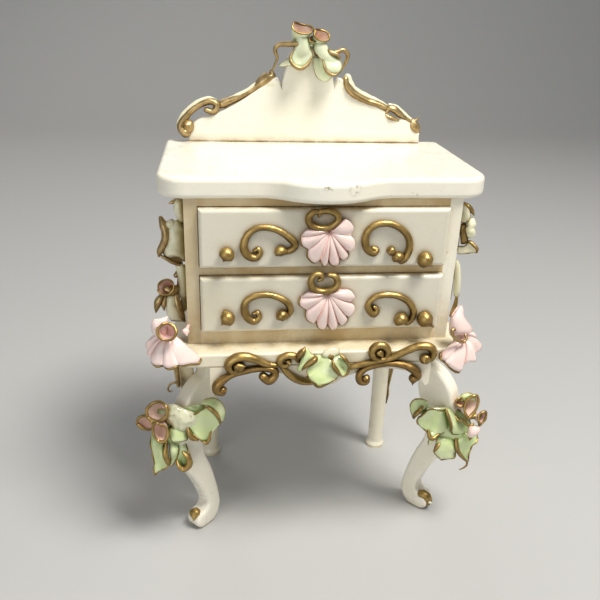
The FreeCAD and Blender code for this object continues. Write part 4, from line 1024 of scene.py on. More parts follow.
    leaf_group("leg_leaves_right", [
        dict(rows=[
            ((21.1, 0.9, 28.5), (24.1, 0.7, 28.5), (28.2, 1.1, 28.1)),
            ((22.7, 0.7, 25.7), (26.2, 0.3, 25.7), (31.4, 0.7, 26.6)),
            ((25.2, 0.3, 23.4), (28.8, -0.1, 23.6), (32.5, 0.3, 24.3)),
            ((26.3, 0.1, 20.5), (29.3, -0.1, 20.9), (32.3, 0.3, 21.2))], thick=1.2, lumpy=0.3),
        dict(rows=[
            ((23.1, 1.1, 29.7), (22.9, 0.5, 29.2), (22.9, 0.7, 28.2)),
            ((21.4, 0.3, 30.9), (21.5, -0.1, 30.0), (21.8, -0.5, 28.7)),
            ((19.9, 0.1, 31.0), (20.2, -0.1, 29.9), (20.8, -0.9, 28.5)),
            ((19.2, 0.3, 29.8), (19.7, 0.1, 28.8), (20.2, -0.9, 27.7)),
            ((19.4, 0.5, 28.3), (19.7, 0.2, 27.5), (20.0, -0.3, 26.7))], facing=(-0.3, -0.9, 0.3)),
        dict(rows=[
            ((27.3, 1.1, 27.6), (27.5, -0.1, 25.9), (28.5, 0.9, 23.0)),
            ((25.8, -0.3, 28.5), (26.3, -0.5, 26.1), (27.0, -0.7, 23.2)),
            ((24.0, -0.8, 29.0), (24.7, -0.4, 25.9), (25.2, -1.3, 23.1)),
            ((22.3, -1.1, 29.0), (23.4, -0.1, 25.5), (24.0, -1.4, 22.6)),
            ((21.1, -1.0, 27.8), (22.3, -0.6, 25.4), (23.2, -1.1, 23.5)),
            ((20.7, -0.7, 26.5), (21.3, -0.7, 25.7), (21.7, -0.8, 24.9)),
            ((20.7, -0.7, 25.9), (21.0, -0.7, 25.6), (21.2, -0.7, 25.3))], ruffle=0.25),
        dict(rows=[
            ((23.3, -0.5, 23.9), (24.1, -0.9, 23.8), (25.3, -0.5, 23.3)),
            ((23.4, -1.3, 22.5), (24.1, -1.6, 22.8), (24.8, -1.3, 22.5)),
            ((23.5, -1.2, 21.2), (23.7, -1.3, 21.3), (24.1, -1.2, 21.4)),
            ((23.6, -0.9, 20.5), (23.7, -0.9, 20.4), (23.8, -0.9, 20.4))]),
        dict(rows=[
            ((26.5, -0.7, 29.0), (27.4, 0.1, 28.5), (28.2, 0.9, 28.1)),
            ((26.7, -1.7, 28.0), (27.9, -0.7, 27.3), (29.4, 0.5, 26.3)),
            ((27.3, -1.9, 26.4), (28.9, -0.8, 25.8), (30.6, 0.3, 24.9)),
            ((27.8, -1.7, 24.6), (29.6, -1.0, 24.1), (31.7, -0.1, 23.2)),
            ((28.4, -0.9, 23.1), (29.3, -0.9, 22.9), (30.4, -0.5, 22.4))], ruffle=0.15),
        dict(rows=[
            ((26.3, 0.9, 22.0), (27.4, 0.1, 22.2), (28.9, 0.9, 21.8)),
            ((25.3, -0.7, 21.0), (27.1, -1.2, 21.1), (29.7, -0.3, 19.9)),
            ((24.9, -1.3, 19.9), (27.0, -1.3, 19.8), (29.8, -0.8, 18.4)),
            ((25.1, -1.3, 18.4), (27.1, -1.2, 18.3), (29.7, -0.8, 17.2)),
            ((26.8, -0.8, 16.7), (27.6, -0.9, 16.7), (28.6, -0.8, 16.5))], ruffle=0.2),
        dict(rows=[
            ((30.0, 0.5, 22.2), (31.6, -0.3, 22.8), (33.9, 0.5, 22.4)),
            ((29.8, -0.9, 20.7), (31.7, -1.2, 21.4), (34.2, -0.7, 21.1)),
            ((30.0, -1.3, 19.2), (31.6, -0.8, 19.5), (32.9, -1.2, 19.9)),
            ((31.1, -1.2, 17.4), (31.9, -0.8, 17.6), (32.6, -1.2, 18.0)),
            ((32.4, -0.9, 15.7), (32.6, -0.9, 15.6), (32.8, -0.9, 15.6))], facing=(0.2, -1, 0.1), ruffle=0.2),
        dict(rows=[
            ((29.6, 0.9, 29.7), (29.4, 0.3, 30.5), (29.7, 0.7, 31.3)),
            ((30.9, 1.1, 29.5), (30.4, 0.1, 30.9), (30.7, 0.7, 31.6)),
            ((32.4, 1.1, 29.6), (32.0, 0.3, 30.8), (32.3, 0.7, 31.3)),
            ((33.3, 0.9, 29.0), (33.1, 0.5, 29.8), (33.3, 0.7, 30.2))], thick=0.7),
    ], extra_gilt=[
        tube([
            (21.4, -0.8, 29.9, 0.19), (20.7, -1.3, 29.2, 0.46), (20.0, -1.3, 28.4, 0.48),
            (19.8, -0.8, 27.4, 0.25)]),
        tube([
            (26.2, -1.1, 29.2, 0.25), (26.6, -1.9, 28.0, 0.31), (27.2, -2.1, 26.6, 0.27),
            (27.6, -2.0, 25.2, 0.23), (27.6, -1.5, 24.2, 0.19)]),
        tube([
            (23.1, -1.1, 24.2, 0.21), (23.4, -1.6, 23.0, 0.48), (24.1, -1.7, 22.7, 0.52),
            (25.2, -1.3, 23.3, 0.31)]),
        tube([(25.8, -1.3, 21.1, 0.21), (25.2, -1.7, 20.4, 0.44), (24.8, -1.5, 19.3, 0.27)]),
        tube([
            (29.4, -0.5, 21.6, 0.21), (29.6, -1.3, 19.8, 0.44), (30.6, -1.4, 17.9, 0.39),
            (32.1, -1.2, 16.2, 0.21)]),
        tube([
            (32.4, -0.9, 16.1, 0.27), (32.6, -0.9, 14.9, 0.21), (31.9, -0.9, 14.1, 0.17),
            (31.1, -0.9, 13.7, 0.08)], ridge=0.0),
        tube([
            (28.7, -0.3, 27.0, 0.17), (29.2, -1.1, 26.3, 0.27), (29.8, -1.3, 26.7, 0.25),
            (30.6, -1.5, 25.9, 0.31), (31.5, -1.7, 25.4, 0.27), (32.3, -1.5, 25.7, 0.21)], ridge=0.0),
    ])
    patch, _ = sheet([
        ((-29.3, -1.4, 31.8), (-29.3, -2.0, 31.0), (-29.2, -1.8, 29.8)),
        ((-28.5, -1.6, 33.0), (-28.3, -2.6, 31.4), (-28.5, -2.0, 28.9)),
        ((-27.1, -1.8, 33.1), (-27.0, -2.8, 31.2), (-27.4, -2.4, 27.8)),
        ((-25.6, -2.0, 32.2), (-25.6, -2.9, 30.6), (-25.8, -2.6, 27.5)),
        ((-23.9, -2.0, 31.2), (-23.9, -2.6, 30.2), (-24.3, -2.4, 28.1)),
        ((-22.9, -1.9, 30.4), (-23.0, -2.2, 29.9), (-23.1, -2.1, 29.1))], thick=0.8, ruffle=0.12, waves=2,
        lumpy=0.24, across=17, per_span=8)
    piece("pale_knee_paste_left", [patch], PASTE)
    start, outward, across = leg_frame(-1)
    ball = start + 16.1 * outward + (0, 0, 3.5)
    toes = [drop(ball, 1.2, ball + 1.5 * outward - 0.9 * across - (0, 0, 0.7))]
    start, outward, across = leg_frame(1)
    smear = []
    for reach, side, height, radius in (
        (14.6, -1.0, 3.5, 0.7), (16.0, -0.7, 3.4, 1.05), (16.5, -0.4, 2.2, 1.05), (15.9, -0.6, 0.9, 0.75)):
        spot = start + reach * outward + side * across + (0, 0, height)
        smear.append((*spot, radius))
    toes.append(tube(smear, rough=0.3))
    piece("gilt_toe_beads", toes, GOLD, ["toe_beads"])
    tip = start + 17.3 * outward - 0.9 * across + (0, 0, 2.4)
    piece("pale_toe_nib", [drop(tip, 0.36, tip + 0.7 * outward)], PALE)


def build_crest():
    """Two roses in pale cups over two spoon-shaped leaves, with a curling tendril each side."""
    y = GALLERY_FACE
    rose_group("crest_roses", [
        dict(
            centre=(-1.8, y - 1.9, 98.5), direction=(0.22, -0.5, 0.82), rim=2.15, depth=3.4, spin=-8,
            oval=0.8, rim_radius=0.2),
        dict(
            centre=(1.95, y - 2.0, 97.4), direction=(0.36, -0.62, 0.7), rim=1.75, depth=3.0, spin=-10,
            oval=0.85, rim_radius=0.2),
        dict(
            centre=(0.2, y - 2.5, 96.5), direction=(0.1, -0.8, 0.5), rim=0.7, depth=1.8, spin=0,
            rim_radius=0.18),
    ], GREEN_PALE)
    leaf_group("crest_leaves", [
        dict(rows=[
            ((-3.1, 28.1, 98.0), (-2.0, 27.3, 97.6), (-0.6, 27.9, 97.1)),
            ((-3.0, 28.1, 96.5), (-1.8, 27.2, 96.2), (-0.3, 27.9, 95.7)),
            ((-3.3, 27.8, 94.8), (-1.8, 27.3, 94.6), (0.0, 27.7, 94.6)),
            ((-4.0, 27.1, 93.3), (-1.9, 27.8, 93.3), (0.2, 27.2, 93.6)),
            ((-3.7, 26.7, 92.0), (-1.9, 27.6, 92.2), (-0.2, 26.8, 92.4)),
            ((-3.0, 26.6, 91.3), (-1.9, 26.9, 91.2), (-0.8, 26.6, 91.5))], thick=0.8),
        dict(rows=[
            ((0.8, 28.1, 96.3), (1.8, 27.4, 96.2), (3.1, 27.9, 95.8)),
            ((0.7, 28.1, 94.8), (2.0, 27.3, 94.6), (3.8, 27.9, 94.3)),
            ((1.5, 27.8, 93.6), (3.0, 27.2, 93.4), (4.9, 27.7, 93.5)),
            ((2.4, 27.1, 92.4), (4.1, 27.2, 92.3), (6.0, 27.2, 92.4)),
            ((2.9, 26.7, 91.1), (4.4, 26.6, 91.2), (6.1, 26.8, 91.3)),
            ((3.6, 26.7, 90.3), (4.6, 26.7, 90.1), (5.7, 26.7, 90.4))], thick=0.9),
        dict(rows=[
            ((-2.8, 29.9, 93.6), (-2.7, 29.7, 92.8), (-2.6, 29.9, 92.0)),
            ((-4.6, 29.5, 92.5), (-4.5, 29.3, 92.0), (-4.4, 29.5, 91.4)),
            ((-6.1, 29.4, 91.4), (-6.1, 29.4, 91.3), (-6.0, 29.4, 91.2))]),
        dict(rows=[
            ((0.8, 29.7, 93.2), (1.7, 29.5, 93.1), (2.9, 29.7, 92.8)),
            ((0.9, 29.6, 91.3), (2.2, 29.3, 91.1), (3.9, 29.6, 90.9)),
            ((1.6, 29.6, 89.5), (3.0, 29.3, 89.6), (4.7, 29.6, 89.6)),
            ((2.8, 29.7, 88.6), (3.3, 29.7, 88.5), (3.9, 29.7, 88.6))]),
    ], extra_gilt=[
        tube([
            (-3.4, 27.2, 94.6, 0.12), (-4.1, 26.7, 93.1, 0.28), (-3.6, 26.3, 91.9, 0.36),
            (-2.2, 26.2, 91.2, 0.42), (-0.9, 26.4, 91.8, 0.36), (0.1, 26.9, 93.2, 0.2)], ridge=0.05),
        tube([
            (2.3, 26.9, 92.8, 0.12), (2.8, 26.4, 91.2, 0.3), (4.0, 26.3, 90.2, 0.36),
            (5.1, 26.4, 90.2, 0.28), (6.0, 26.7, 91.2, 0.12)], ridge=0.05),
        tube([
            (3.2, 27.6, 94.7, 0.3), (3.9, 27.2, 94.2, 0.5), (5.1, 27.0, 93.8, 0.42),
            (5.8, 27.0, 93.2, 0.18)]),
        tube([(-1.2, y + 0.8, 95.2, 0.9), (-1.6, y - 0.6, 95.6, 0.9), (-1.8, 27.6, 95.8, 0.6)]),
        tube([(1.6, y + 0.8, 93.9, 0.8), (1.9, y - 0.6, 94.1, 0.8), (2.2, 27.5, 94.4, 0.6)]),
    ], enamel=GREEN_PALE, rim=0.09, gilt=GOLD_PALE)
    tendrils = {
        "crest_tendril_left": [
            (-2.6, 27.6, 95.6, 0.62), (-4.3, 28.0, 95.5, 0.6), (-5.9, 28.3, 95.4, 0.54),
            (-6.8, 28.5, 94.8, 0.48), (-6.9, 28.6, 94.0, 0.42), (-6.5, 28.7, 92.9, 0.34),
            (-6.8, 28.8, 91.8, 0.26), (-7.3, 29.1, 90.6, 0.24)],
        "crest_tendril_right": [
            (3.1, 27.9, 94.3, 0.5), (4.2, 27.5, 94.1, 0.56), (5.3, 27.5, 94.3, 0.5), (6.3, 27.7, 94.7, 0.5),
            (7.3, 27.9, 94.1, 0.48), (7.4, 28.2, 93.0, 0.4), (6.9, 28.5, 91.7, 0.28),
            (6.2, 28.7, 90.3, 0.12)],
    }
    for name, rows in tendrils.items():
        piece("gilt_" + name, [tube(rows, ridge=0.12, ridges=2)], GOLD_PALE, [name])


def build_gallery_ribbons():
    y = (GALLERY_FACE + GALLERY_BACK) / 2 - 0.3
    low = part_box("backsplash")[0].z / MM
    # Both ribbons use the paler gilding as painted highlight.
    fold = tube([
        (-7.4, y, 90.2, 0.36), (-7.6, y, 89.2, 1.14), (-8.8, y, 88.3, 1.26), (-10.0, y, 87.4, 0.96),
        (-11.4, y, 86.4, 0.74), (-13.2, y, 85.4, 0.72), (-15.4, y - 0.2, 84.4, 0.74),
        (-17.2, y - 0.3, 83.7, 0.89), (-17.8, y - 0.3, 83.3, 0.6)], ridge=0.1, flat=0.9)
    curl = tube([
        (-20.6, y - 0.9, 82.5, 0.55), (-19.4, y - 1.0, 82.2, 0.6), (-18.6, y - 0.9, 82.8, 0.65),
        (-18.6, y - 0.8, 83.7, 0.7), (-19.7, y - 0.7, 84.2, 0.7), (-21.2, y - 0.6, 83.8, 0.65),
        (-22.8, y - 0.6, 82.9, 0.62), (-24.3, y - 0.7, 81.6, 0.65), (-25.5, y - 0.9, 80.0, 0.78),
        (-25.7, y - 1.0, 78.8, 0.94), (-24.9, y - 1.1, 78.0, 1.1)], ridge=0.1)
    ball = drop((-24.5, y - 0.9, low + 3.0), 1.45, (-24.9, y - 2.6, low + 3.5))
    piece("gilt_gallery_ribbon_left", [fold, curl, ball], GOLD_PALE, ["gallery_ribbon_left"])
    band = [
        (-9.0, y, 88.3, 0.88), (-11.4, y, 86.5, 0.76), (-13.2, y, 85.5, 0.72), (-15.4, y, 84.5, 0.72),
        (-17.4, y, 83.8, 0.64)]
    scroll = [
        (-18.8, y - 0.2, 84.0, 0.6), (-19.8, y - 0.2, 84.5, 0.64), (-21.4, y - 0.2, 84.1, 0.64),
        (-23.2, y - 0.2, 83.1, 0.64), (-24.8, y - 0.2, 81.8, 0.64), (-26.0, y - 0.2, 80.0, 0.62),
        (-26.2, y - 0.3, 78.6, 0.56)]
    right_band = [
        (8.2, y, 89.3, 0.72), (8.7, y, 88.0, 0.8), (9.6, y, 86.9, 0.8), (11.0, y, 86.0, 0.8),
        (13.0, y, 85.2, 0.76), (15.0, y, 84.4, 0.68), (16.8, y, 83.6, 0.48)]
    tail = [
        (17.4, y - 0.2, 83.9, 0.48), (19.0, y - 0.2, 83.3, 0.56), (20.6, y - 0.2, 82.2, 0.48),
        (22.4, y - 0.2, 80.9, 0.32)]
    backs = [tube(rows, ridge=0.05, flat=0.8, rough=0.2) for rows in (band, scroll, right_band, tail)]
    tongue = tube(
        [(-8.2, y - 0.2, 87.6, 0.9), (-7.0, y - 0.2, 87.6, 0.85), (-6.1, y - 0.1, 87.7, 0.75)], ridge=0,
        rough=0.2)
    lump_right = tube(
        [(7.0, y - 0.2, 86.8, 0.8), (7.9, y - 0.1, 87.9, 1.1), (9.0, y, 87.0, 0.7)], ridge=0, rough=0.3)
    piece("pale_gallery_paste", backs + [tongue, lump_right], PALE)
    body = tube([
        (7.6, y - 0.7, 89.0, 0.62), (7.9, y - 0.8, 88.0, 0.78), (8.7, y - 0.8, 86.8, 0.83),
        (10.2, y - 0.7, 85.7, 0.83), (12.5, y - 0.6, 84.7, 0.78), (14.7, y - 0.6, 84.1, 0.7),
        (16.4, y - 0.6, 83.4, 0.58)], ridge=0.1)
    curl = tube([
        (16.7, y - 0.6, 82.6, 0.55), (17.2, y - 0.8, 83.4, 0.65), (18.3, y - 0.8, 83.1, 0.75),
        (19.6, y - 0.7, 82.2, 0.65), (20.8, y - 0.6, 81.4, 0.4), (22.0, y - 0.6, 80.6, 0.38)], ridge=0.1)
    under = tube(
        [(16.6, y - 0.7, 81.9, 0.36), (17.8, y - 0.9, 81.4, 0.5), (19.3, y - 0.8, 81.0, 0.34)], ridge=0.1)
    bud, lines = blade([
        (22.0, y - 0.5, 80.9, 0.5, 0.5, -20), (22.9, y - 0.9, 80.0, 0.9, 1.1, -45),
        (23.5, y - 0.9, 79.2, 0.9, 0.9, -45), (24.0, y - 0.5, 78.3, 0.2, 0.2, 0)], (0, -1, 0.2), thick=0.8)
    spike = tube(
        [(22.8, y - 0.7, 80.8, 0.34), (23.4, y - 0.7, 81.1, 0.26), (23.9, y - 0.7, 81.8, 0.1)], ridge=0)
    piece(
        "gilt_gallery_ribbon_right", [body, curl, under, bud, spike, edging(lines, radius=0.2)],
        GOLD_PALE, ["gallery_ribbon_right"])


def wall_leaf(side, wall, low, high):
    """Leaf lying on a side board, carrying the bunch in front of it. Its stations give the share of the
    height, how far back the leaf goes and how much its rear edge rises."""
    stations = ((0.0, 7.6, 0.5), (0.25, 9.4, 1.5), (0.6, 9.8, 1.9), (0.85, 8.8, 1.2), (1.0, 7.8, 0.3))
    reach = 2.6 if side > 0 else 1.3
    rows = []
    for share, back, tilt in stations:
        z = low + (high - low) * share
        front_edge, middle = (side * (wall + reach), 6.7, z), (side * (wall + 0.7), (6.6 + back) / 2, z)
        rows.append((front_edge, middle, (side * (wall + 0.2), back, z + tilt)))
    return dict(rows=rows, facing=(side, -0.3, 0.1), thick=0.9, ruffle=0.15)


def build_side_trim():
    """Cream and gilt leaves and a rose down the left side board, green leaves down the right one."""
    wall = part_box("side_panel_right")[1].x / MM
    leaf_group("side_leaves_left", [
        dict(rows=[
            ((-26.1, 6.5, 70.6), (-25.5, 5.8, 70.8), (-24.9, 6.5, 70.6)),
            ((-26.3, 6.2, 69.1), (-25.5, 5.4, 69.5), (-24.8, 6.2, 69.1)),
            ((-26.1, 6.4, 67.7), (-25.4, 5.8, 68.0), (-24.9, 6.4, 67.6)),
            ((-25.6, 6.8, 66.2), (-25.3, 6.6, 66.2), (-24.9, 6.8, 66.0))], thick=0.9, lumpy=0.2),
        dict(rows=[
            ((-27.3, 6.8, 65.5), (-26.2, 6.2, 66.7), (-25.0, 6.8, 65.6)),
            ((-27.7, 6.4, 64.5), (-26.3, 5.4, 65.0), (-24.8, 6.8, 64.1)),
            ((-27.9, 6.2, 62.6), (-26.3, 5.0, 63.2), (-24.8, 6.8, 62.2)),
            ((-28.5, 6.2, 60.8), (-26.7, 5.0, 61.7), (-24.8, 6.8, 60.4)),
            ((-27.8, 6.4, 59.4), (-26.3, 5.6, 60.2), (-24.8, 6.8, 58.7))], thick=1.2, lumpy=0.25),
        dict(rows=[
            ((-27.2, 6.0, 64.8), (-27.0, 5.9, 64.8), (-26.7, 6.0, 64.9)),
            ((-27.9, 5.9, 65.8), (-27.2, 5.4, 66.1), (-26.2, 5.9, 66.1)),
            ((-27.8, 6.2, 66.5), (-27.3, 6.0, 66.8), (-26.8, 6.2, 66.9))]),
        dict(rows=[
            ((-26.6, 6.8, 58.3), (-25.7, 6.2, 58.4), (-24.9, 6.8, 58.0)),
            ((-26.1, 7.0, 55.7), (-25.5, 6.4, 55.9), (-24.8, 7.0, 55.5)),
            ((-26.1, 7.2, 53.0), (-25.5, 6.6, 53.2), (-24.8, 7.2, 52.8)),
            ((-26.4, 7.2, 51.2), (-25.7, 6.8, 51.2), (-24.9, 7.2, 50.8))], thick=1.0),
        dict(rows=[
            ((-28.4, 6.0, 52.2), (-27.4, 5.4, 52.5), (-26.4, 6.4, 51.7)),
            ((-28.4, 5.8, 50.4), (-27.6, 5.0, 50.6), (-26.4, 6.2, 50.2)),
            ((-28.5, 5.8, 48.5), (-27.1, 4.9, 49.5), (-26.0, 6.0, 48.4)),
            ((-27.8, 5.8, 47.0), (-26.8, 5.4, 47.4), (-25.7, 6.0, 46.7))], thick=0.9),
    ] + [wall_leaf(-1, wall, low, high) for low, high in ((59.8, 68.8), (48.4, 57.0))], extra_gilt=[
        tube([
            (-28.8, 6.4, 67.1, 0.4), (-28.4, 6.0, 66.0, 0.75), (-28.0, 5.6, 64.9, 0.85),
            (-28.0, 5.4, 63.6, 0.85), (-28.5, 5.4, 62.4, 0.75), (-29.2, 5.6, 61.1, 0.6),
            (-29.4, 5.8, 60.2, 0.3)]),
        tube([
            (-29.4, 5.8, 60.3, 0.22), (-28.3, 5.6, 59.7, 0.3), (-27.0, 5.8, 58.8, 0.34),
            (-25.8, 6.2, 58.2, 0.3)]),
        sheet([
            ((-28.8, 6.2, 60.6), (-28.0, 6.6, 60.7), (-25.6, 6.8, 60.1)),
            ((-28.4, 6.0, 59.9), (-27.2, 6.6, 59.5), (-25.4, 6.8, 58.7)),
            ((-27.3, 6.2, 58.7), (-26.6, 6.4, 58.5), (-25.7, 6.6, 58.0))])[0],
        tube([(-25.6, 6.2, 70.5, 0.42), (-26.5, 5.8, 70.2, 0.36), (-27.2, 5.6, 70.1, 0.1)]),
        tube([
            (-29.1, 6.0, 52.3, 0.5), (-29.9, 5.6, 51.3, 0.75), (-30.3, 5.6, 50.1, 0.6),
            (-30.6, 5.8, 48.8, 0.15)]),
        tube([(-28.6, 5.6, 52.0, 0.4), (-29.0, 5.2, 50.7, 0.5), (-29.0, 5.4, 49.5, 0.2)]),
        tube([
            (-26.8, 5.8, 52.2, 0.5), (-26.4, 5.4, 50.4, 0.75), (-25.9, 5.4, 48.5, 0.7),
            (-25.4, 5.8, 46.9, 0.3)]),
        tube([
            (-25.4, 6.6, 58.4, 0.2), (-26.0, 6.6, 56.7, 0.26), (-26.2, 6.8, 54.6, 0.26),
            (-26.4, 6.8, 52.1, 0.3)]),
        tube([
            (-28.3, 5.8, 53.5, 0.7), (-27.5, 6.0, 53.1, 1.0), (-26.8, 6.4, 53.3, 0.8),
            (-26.2, 6.8, 53.5, 0.5)]),
        tube([(-wall + 0.6, 9.0, 57.4, 0.5), (-25.8, 7.6, 56.4, 0.6), (-26.6, 7.0, 55.8, 0.5)]),
    ], enamel=PALE, rim=0.12, gilt=GOLD_PALE)
    rose_group("side_rose_left", [
        dict(
            centre=(-28.4, 5.1, 54.3), direction=(-0.35, -0.84, 0.4), rim=1.65, depth=2.3, spin=-30,
            oval=0.88, rim_radius=0.2)
    ])
    leaf_group("side_leaves_right", [
        dict(rows=[
            ((27.0, 6.8, 69.4), (27.2, 6.2, 69.4), (28.1, 6.4, 68.7)),
            ((27.1, 6.8, 67.7), (27.4, 5.9, 67.8), (28.4, 6.2, 67.5)),
            ((27.1, 6.8, 65.9), (27.6, 6.2, 66.1), (28.4, 6.4, 65.9))], thick=0.9),
        dict(rows=[
            ((28.6, 6.2, 66.8), (28.9, 6.0, 67.0), (29.4, 6.2, 66.7)),
            ((28.2, 5.8, 65.7), (28.5, 5.1, 66.1), (29.6, 5.8, 65.7)),
            ((28.0, 5.8, 64.7), (28.4, 4.9, 65.0), (29.3, 5.8, 65.0)),
            ((28.3, 5.8, 63.9), (28.8, 5.1, 64.1), (29.7, 5.8, 64.2)),
            ((29.1, 6.2, 63.0), (29.2, 6.0, 63.0), (29.6, 6.2, 63.1))], thick=0.9, lumpy=0.2),
        dict(rows=[
            ((27.2, 7.0, 61.0), (27.0, 6.2, 60.5), (27.2, 6.8, 59.6)),
            ((28.3, 6.4, 61.3), (28.4, 6.2, 60.6), (28.5, 6.0, 59.9)),
            ((29.1, 6.0, 62.4), (29.5, 6.0, 61.2), (29.7, 5.6, 60.2)),
            ((29.8, 5.6, 61.9), (30.1, 5.6, 61.0), (30.2, 5.4, 60.3)),
            ((30.4, 5.2, 61.2), (30.5, 5.2, 60.8), (30.4, 5.2, 60.4))], thick=0.7),
        dict(rows=[
            ((27.1, 6.8, 58.1), (27.1, 6.4, 58.5), (27.5, 6.4, 58.2)),
            ((27.4, 6.8, 55.9), (27.5, 6.1, 56.3), (28.0, 6.4, 56.0)),
            ((27.6, 6.8, 53.1), (27.8, 6.1, 53.4), (28.4, 6.4, 53.2)),
            ((27.8, 6.8, 50.7), (28.0, 6.4, 50.7), (28.5, 6.6, 50.5))], thick=0.9),
    ] + [wall_leaf(1, wall, low, high) for low, high in ((59.8, 68.4), (49.6, 57.8))], extra_gilt=[
        sheet([
            ((27.1, 6.8, 65.5), (27.6, 6.5, 65.7), (28.4, 6.4, 65.5)),
            ((27.2, 6.8, 63.7), (27.8, 6.7, 63.9), (28.5, 6.2, 63.9)),
            ((27.6, 6.8, 61.7), (28.3, 6.5, 61.7), (29.0, 6.4, 62.2))], thick=1.2, lumpy=0.3)[0],
        tube([
            (27.0, 6.6, 69.6, 0.4), (27.9, 6.2, 69.1, 0.5), (28.6, 6.0, 68.4, 0.42),
            (29.1, 5.8, 67.6, 0.12)]),
        tube([
            (28.9, 5.8, 62.4, 0.26), (29.6, 5.4, 61.9, 0.34), (30.3, 5.0, 61.2, 0.32),
            (30.4, 5.1, 60.4, 0.18)]),
        tube([
            (28.2, 6.4, 50.5, 0.3), (28.1, 6.4, 48.9, 0.44), (27.7, 6.2, 47.6, 0.44),
            (27.3, 6.2, 46.5, 0.24)]),
    ], enamel=PALE, rim=0.14)


def build_side_bracket():
    """Shaded block under the base board behind the left front leg, with a gilt edge and a curled tendril."""
    floor_of_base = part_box("base_board")[0].z / MM
    points = outline([
        (-26.7, 33.0), (-26.2, 32.4, -25.4, 32.2), (-24.0, 32.6), (-24.0, floor_of_base),
        (-27.0, floor_of_base)])
    block_front = 4.4
    block = sawn(points, thick=3.0, edge=0.4,
                 to_space=lambda place, depth: (place[0], block_front + depth, place[1]))
    piece("cream_bracket_left", [block], CREAM_LEFT_SHADED)
    strip = tube([
        (-27.2, 4.6, floor_of_base, 0.5), (-27.4, 4.4, 39.0, 0.55), (-27.2, 4.4, 36.0, 0.45),
        (-27.0, 4.4, 33.4, 0.35)])
    hook = tube([
        (-27.1, 4.2, 34.2, 0.2), (-27.9, 4.0, 34.4, 0.22), (-28.6, 4.0, 33.9, 0.22),
        (-29.0, 4.0, 33.0, 0.2), (-28.6, 4.0, 32.4, 0.16), (-28.2, 4.0, 32.6, 0.08)], ridge=0.0)
    piece("gilt_bracket_left_edge", [strip, hook], GOLD_PALE)


def build_rear_leg_strips():
    """Slim leaf strip with a scalloped gilt edge down the outer side of each rear leg."""
    leaves, gilt = [], []
    for side, node in ((-1, "rear_leg_left"), (1, "rear_leg_right")):
        low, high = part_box(node)
        middle_y = (low.y + high.y) / 2 / MM - FRONT
        outer = side * (max(abs(low.x), abs(high.x)) / MM - 0.45)
        top = high.z / MM
        stations = []
        for out, down, half in ((0.6, 0.6, 0.6), (1.1, 8, 1.2), (0.6, 18, 1.0), (0.1, 30, 0.3)):
            stations.append((outer + side * out, middle_y, top - down, half, half, 0))
        solid, lines = blade(stations, (side, 0, 0), thick=0.9, ruffle=0.2, waves=5)
        leaves.append(solid)
        gilt.append(edging(lines, radius=0.24, rough=0.6))
        bead, nib = (
            outer + side * 1.4, middle_y - 0.8, top - 4), (outer + side * 1.9, middle_y - 1.8, top - 5)
        gilt.append(drop(bead, 1.0, nib))
    piece("pale_rear_leg_leaves", leaves, PALE, ["rear_leg_leaves"])
    piece("gilt_rear_leg_leaf_edges", gilt, GOLD)


# ---------------------------------------------------------------- stage
def add_floor():
    """Pale floor that sweeps up into a backdrop."""
    radius, width, front, back = 0.25, 1.6, -0.9, 0.7
    profile = [(front, 0.0), (back - radius, 0.0)]
    for turn in np.radians(np.arange(10, 91, 10)):
        profile.append((back - radius + radius * math.sin(turn), radius * (1 - math.cos(turn))))
    profile.append((back, 1.2))
    verts = [(x, y, z) for y, z in profile for x in (-width, width)]
    faces = [(2 * i, 2 * i + 1, 2 * i + 3, 2 * i + 2) for i in range(len(profile) - 1)]
    mesh = bpy.data.meshes.new("floor")
    mesh.from_pydata(verts, [], faces)
    mesh.polygons.foreach_set("use_smooth", [True] * len(mesh.polygons))
    floor = bpy.data.objects.new("floor", mesh)
    bpy.context.scene.collection.objects.link(floor)
    finish = Finish("pale_floor")
    finish.set(Base_Color=(0.5, 0.5, 0.49, 1.0), Roughness=0.65)
    mesh.materials.append(finish.material)


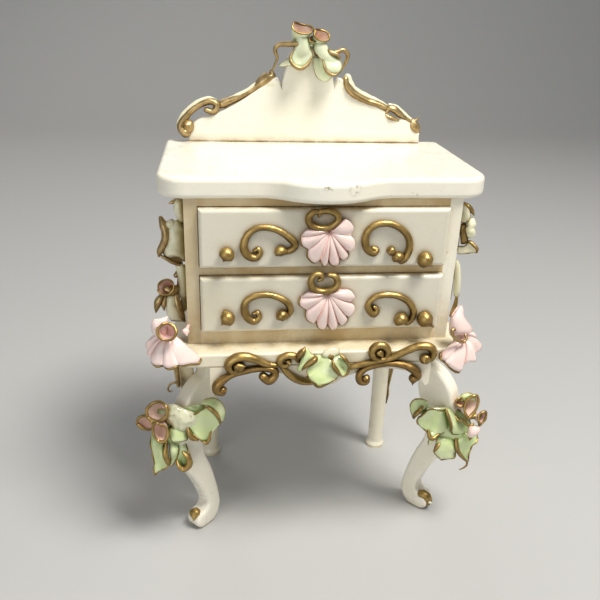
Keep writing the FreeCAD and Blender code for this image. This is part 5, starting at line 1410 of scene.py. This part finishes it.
def add_light(name, place, target, size, power, colour):
    lamp = bpy.data.lights.new(name, "AREA")
    lamp.size = size
    lamp.energy = power
    lamp.color = colour
    item = bpy.data.objects.new(name, lamp)
    item.location = place
    item.rotation_euler = (Vector(target) - Vector(place)).to_track_quat("-Z", "Y").to_euler()
    bpy.context.scene.collection.objects.link(item)


def add_lights():
    middle = (0.0, 0.0, 0.05)
    add_light("key", (0.14, -0.13, 0.46), middle, size=0.16, power=2.6, colour=(1.0, 0.97, 0.92))
    add_light("fill", (-0.3, -0.5, 0.2), middle, size=0.5, power=1.15, colour=(0.97, 0.98, 1.0))
    add_light("rim", (-0.15, 0.45, 0.45), middle, size=0.4, power=0.6, colour=(1.0, 0.98, 0.95))
    world = bpy.data.worlds.new("studio")
    world.use_nodes = True
    world.node_tree.nodes["Background"].inputs["Color"].default_value = (0.9, 0.92, 0.95, 1.0)
    world.node_tree.nodes["Background"].inputs["Strength"].default_value = 0.2
    bpy.context.scene.world = world


def add_camera():
    yaw, pitch, roll = (math.radians(angle) for angle in CAMERA_ANGLES)
    ahead = Vector((math.sin(yaw) * math.cos(pitch), math.cos(yaw) * math.cos(pitch), -math.sin(pitch)))
    level = Vector((math.cos(yaw), -math.sin(yaw), 0))
    lift = level.cross(ahead)
    right = math.cos(roll) * level + math.sin(roll) * lift
    up = math.cos(roll) * lift - math.sin(roll) * level
    lens = bpy.data.cameras.new("camera")
    lens.lens = 40.3
    lens.sensor_width = 36.0
    lens.clip_start = 0.005
    camera = bpy.data.objects.new("camera", lens)
    turn = Matrix((right, up, -ahead)).transposed()
    camera.matrix_world = Matrix.Translation(CAMERA_PLACE) @ turn.to_4x4()
    bpy.context.scene.collection.objects.link(camera)
    bpy.context.scene.camera = camera


paint_boards()
build_gallery()
build_legs()
build_drawer_scrolls()
build_drawer_beads()
build_pulls()
build_apron_trim()
build_apron_bow()
build_corner_trim()
build_leg_trim()
build_crest()
build_gallery_ribbons()
build_side_trim()
build_side_bracket()
build_rear_leg_strips()
add_floor()
add_lights()
add_camera()

bpy.context.scene.view_settings.view_transform = "Standard"
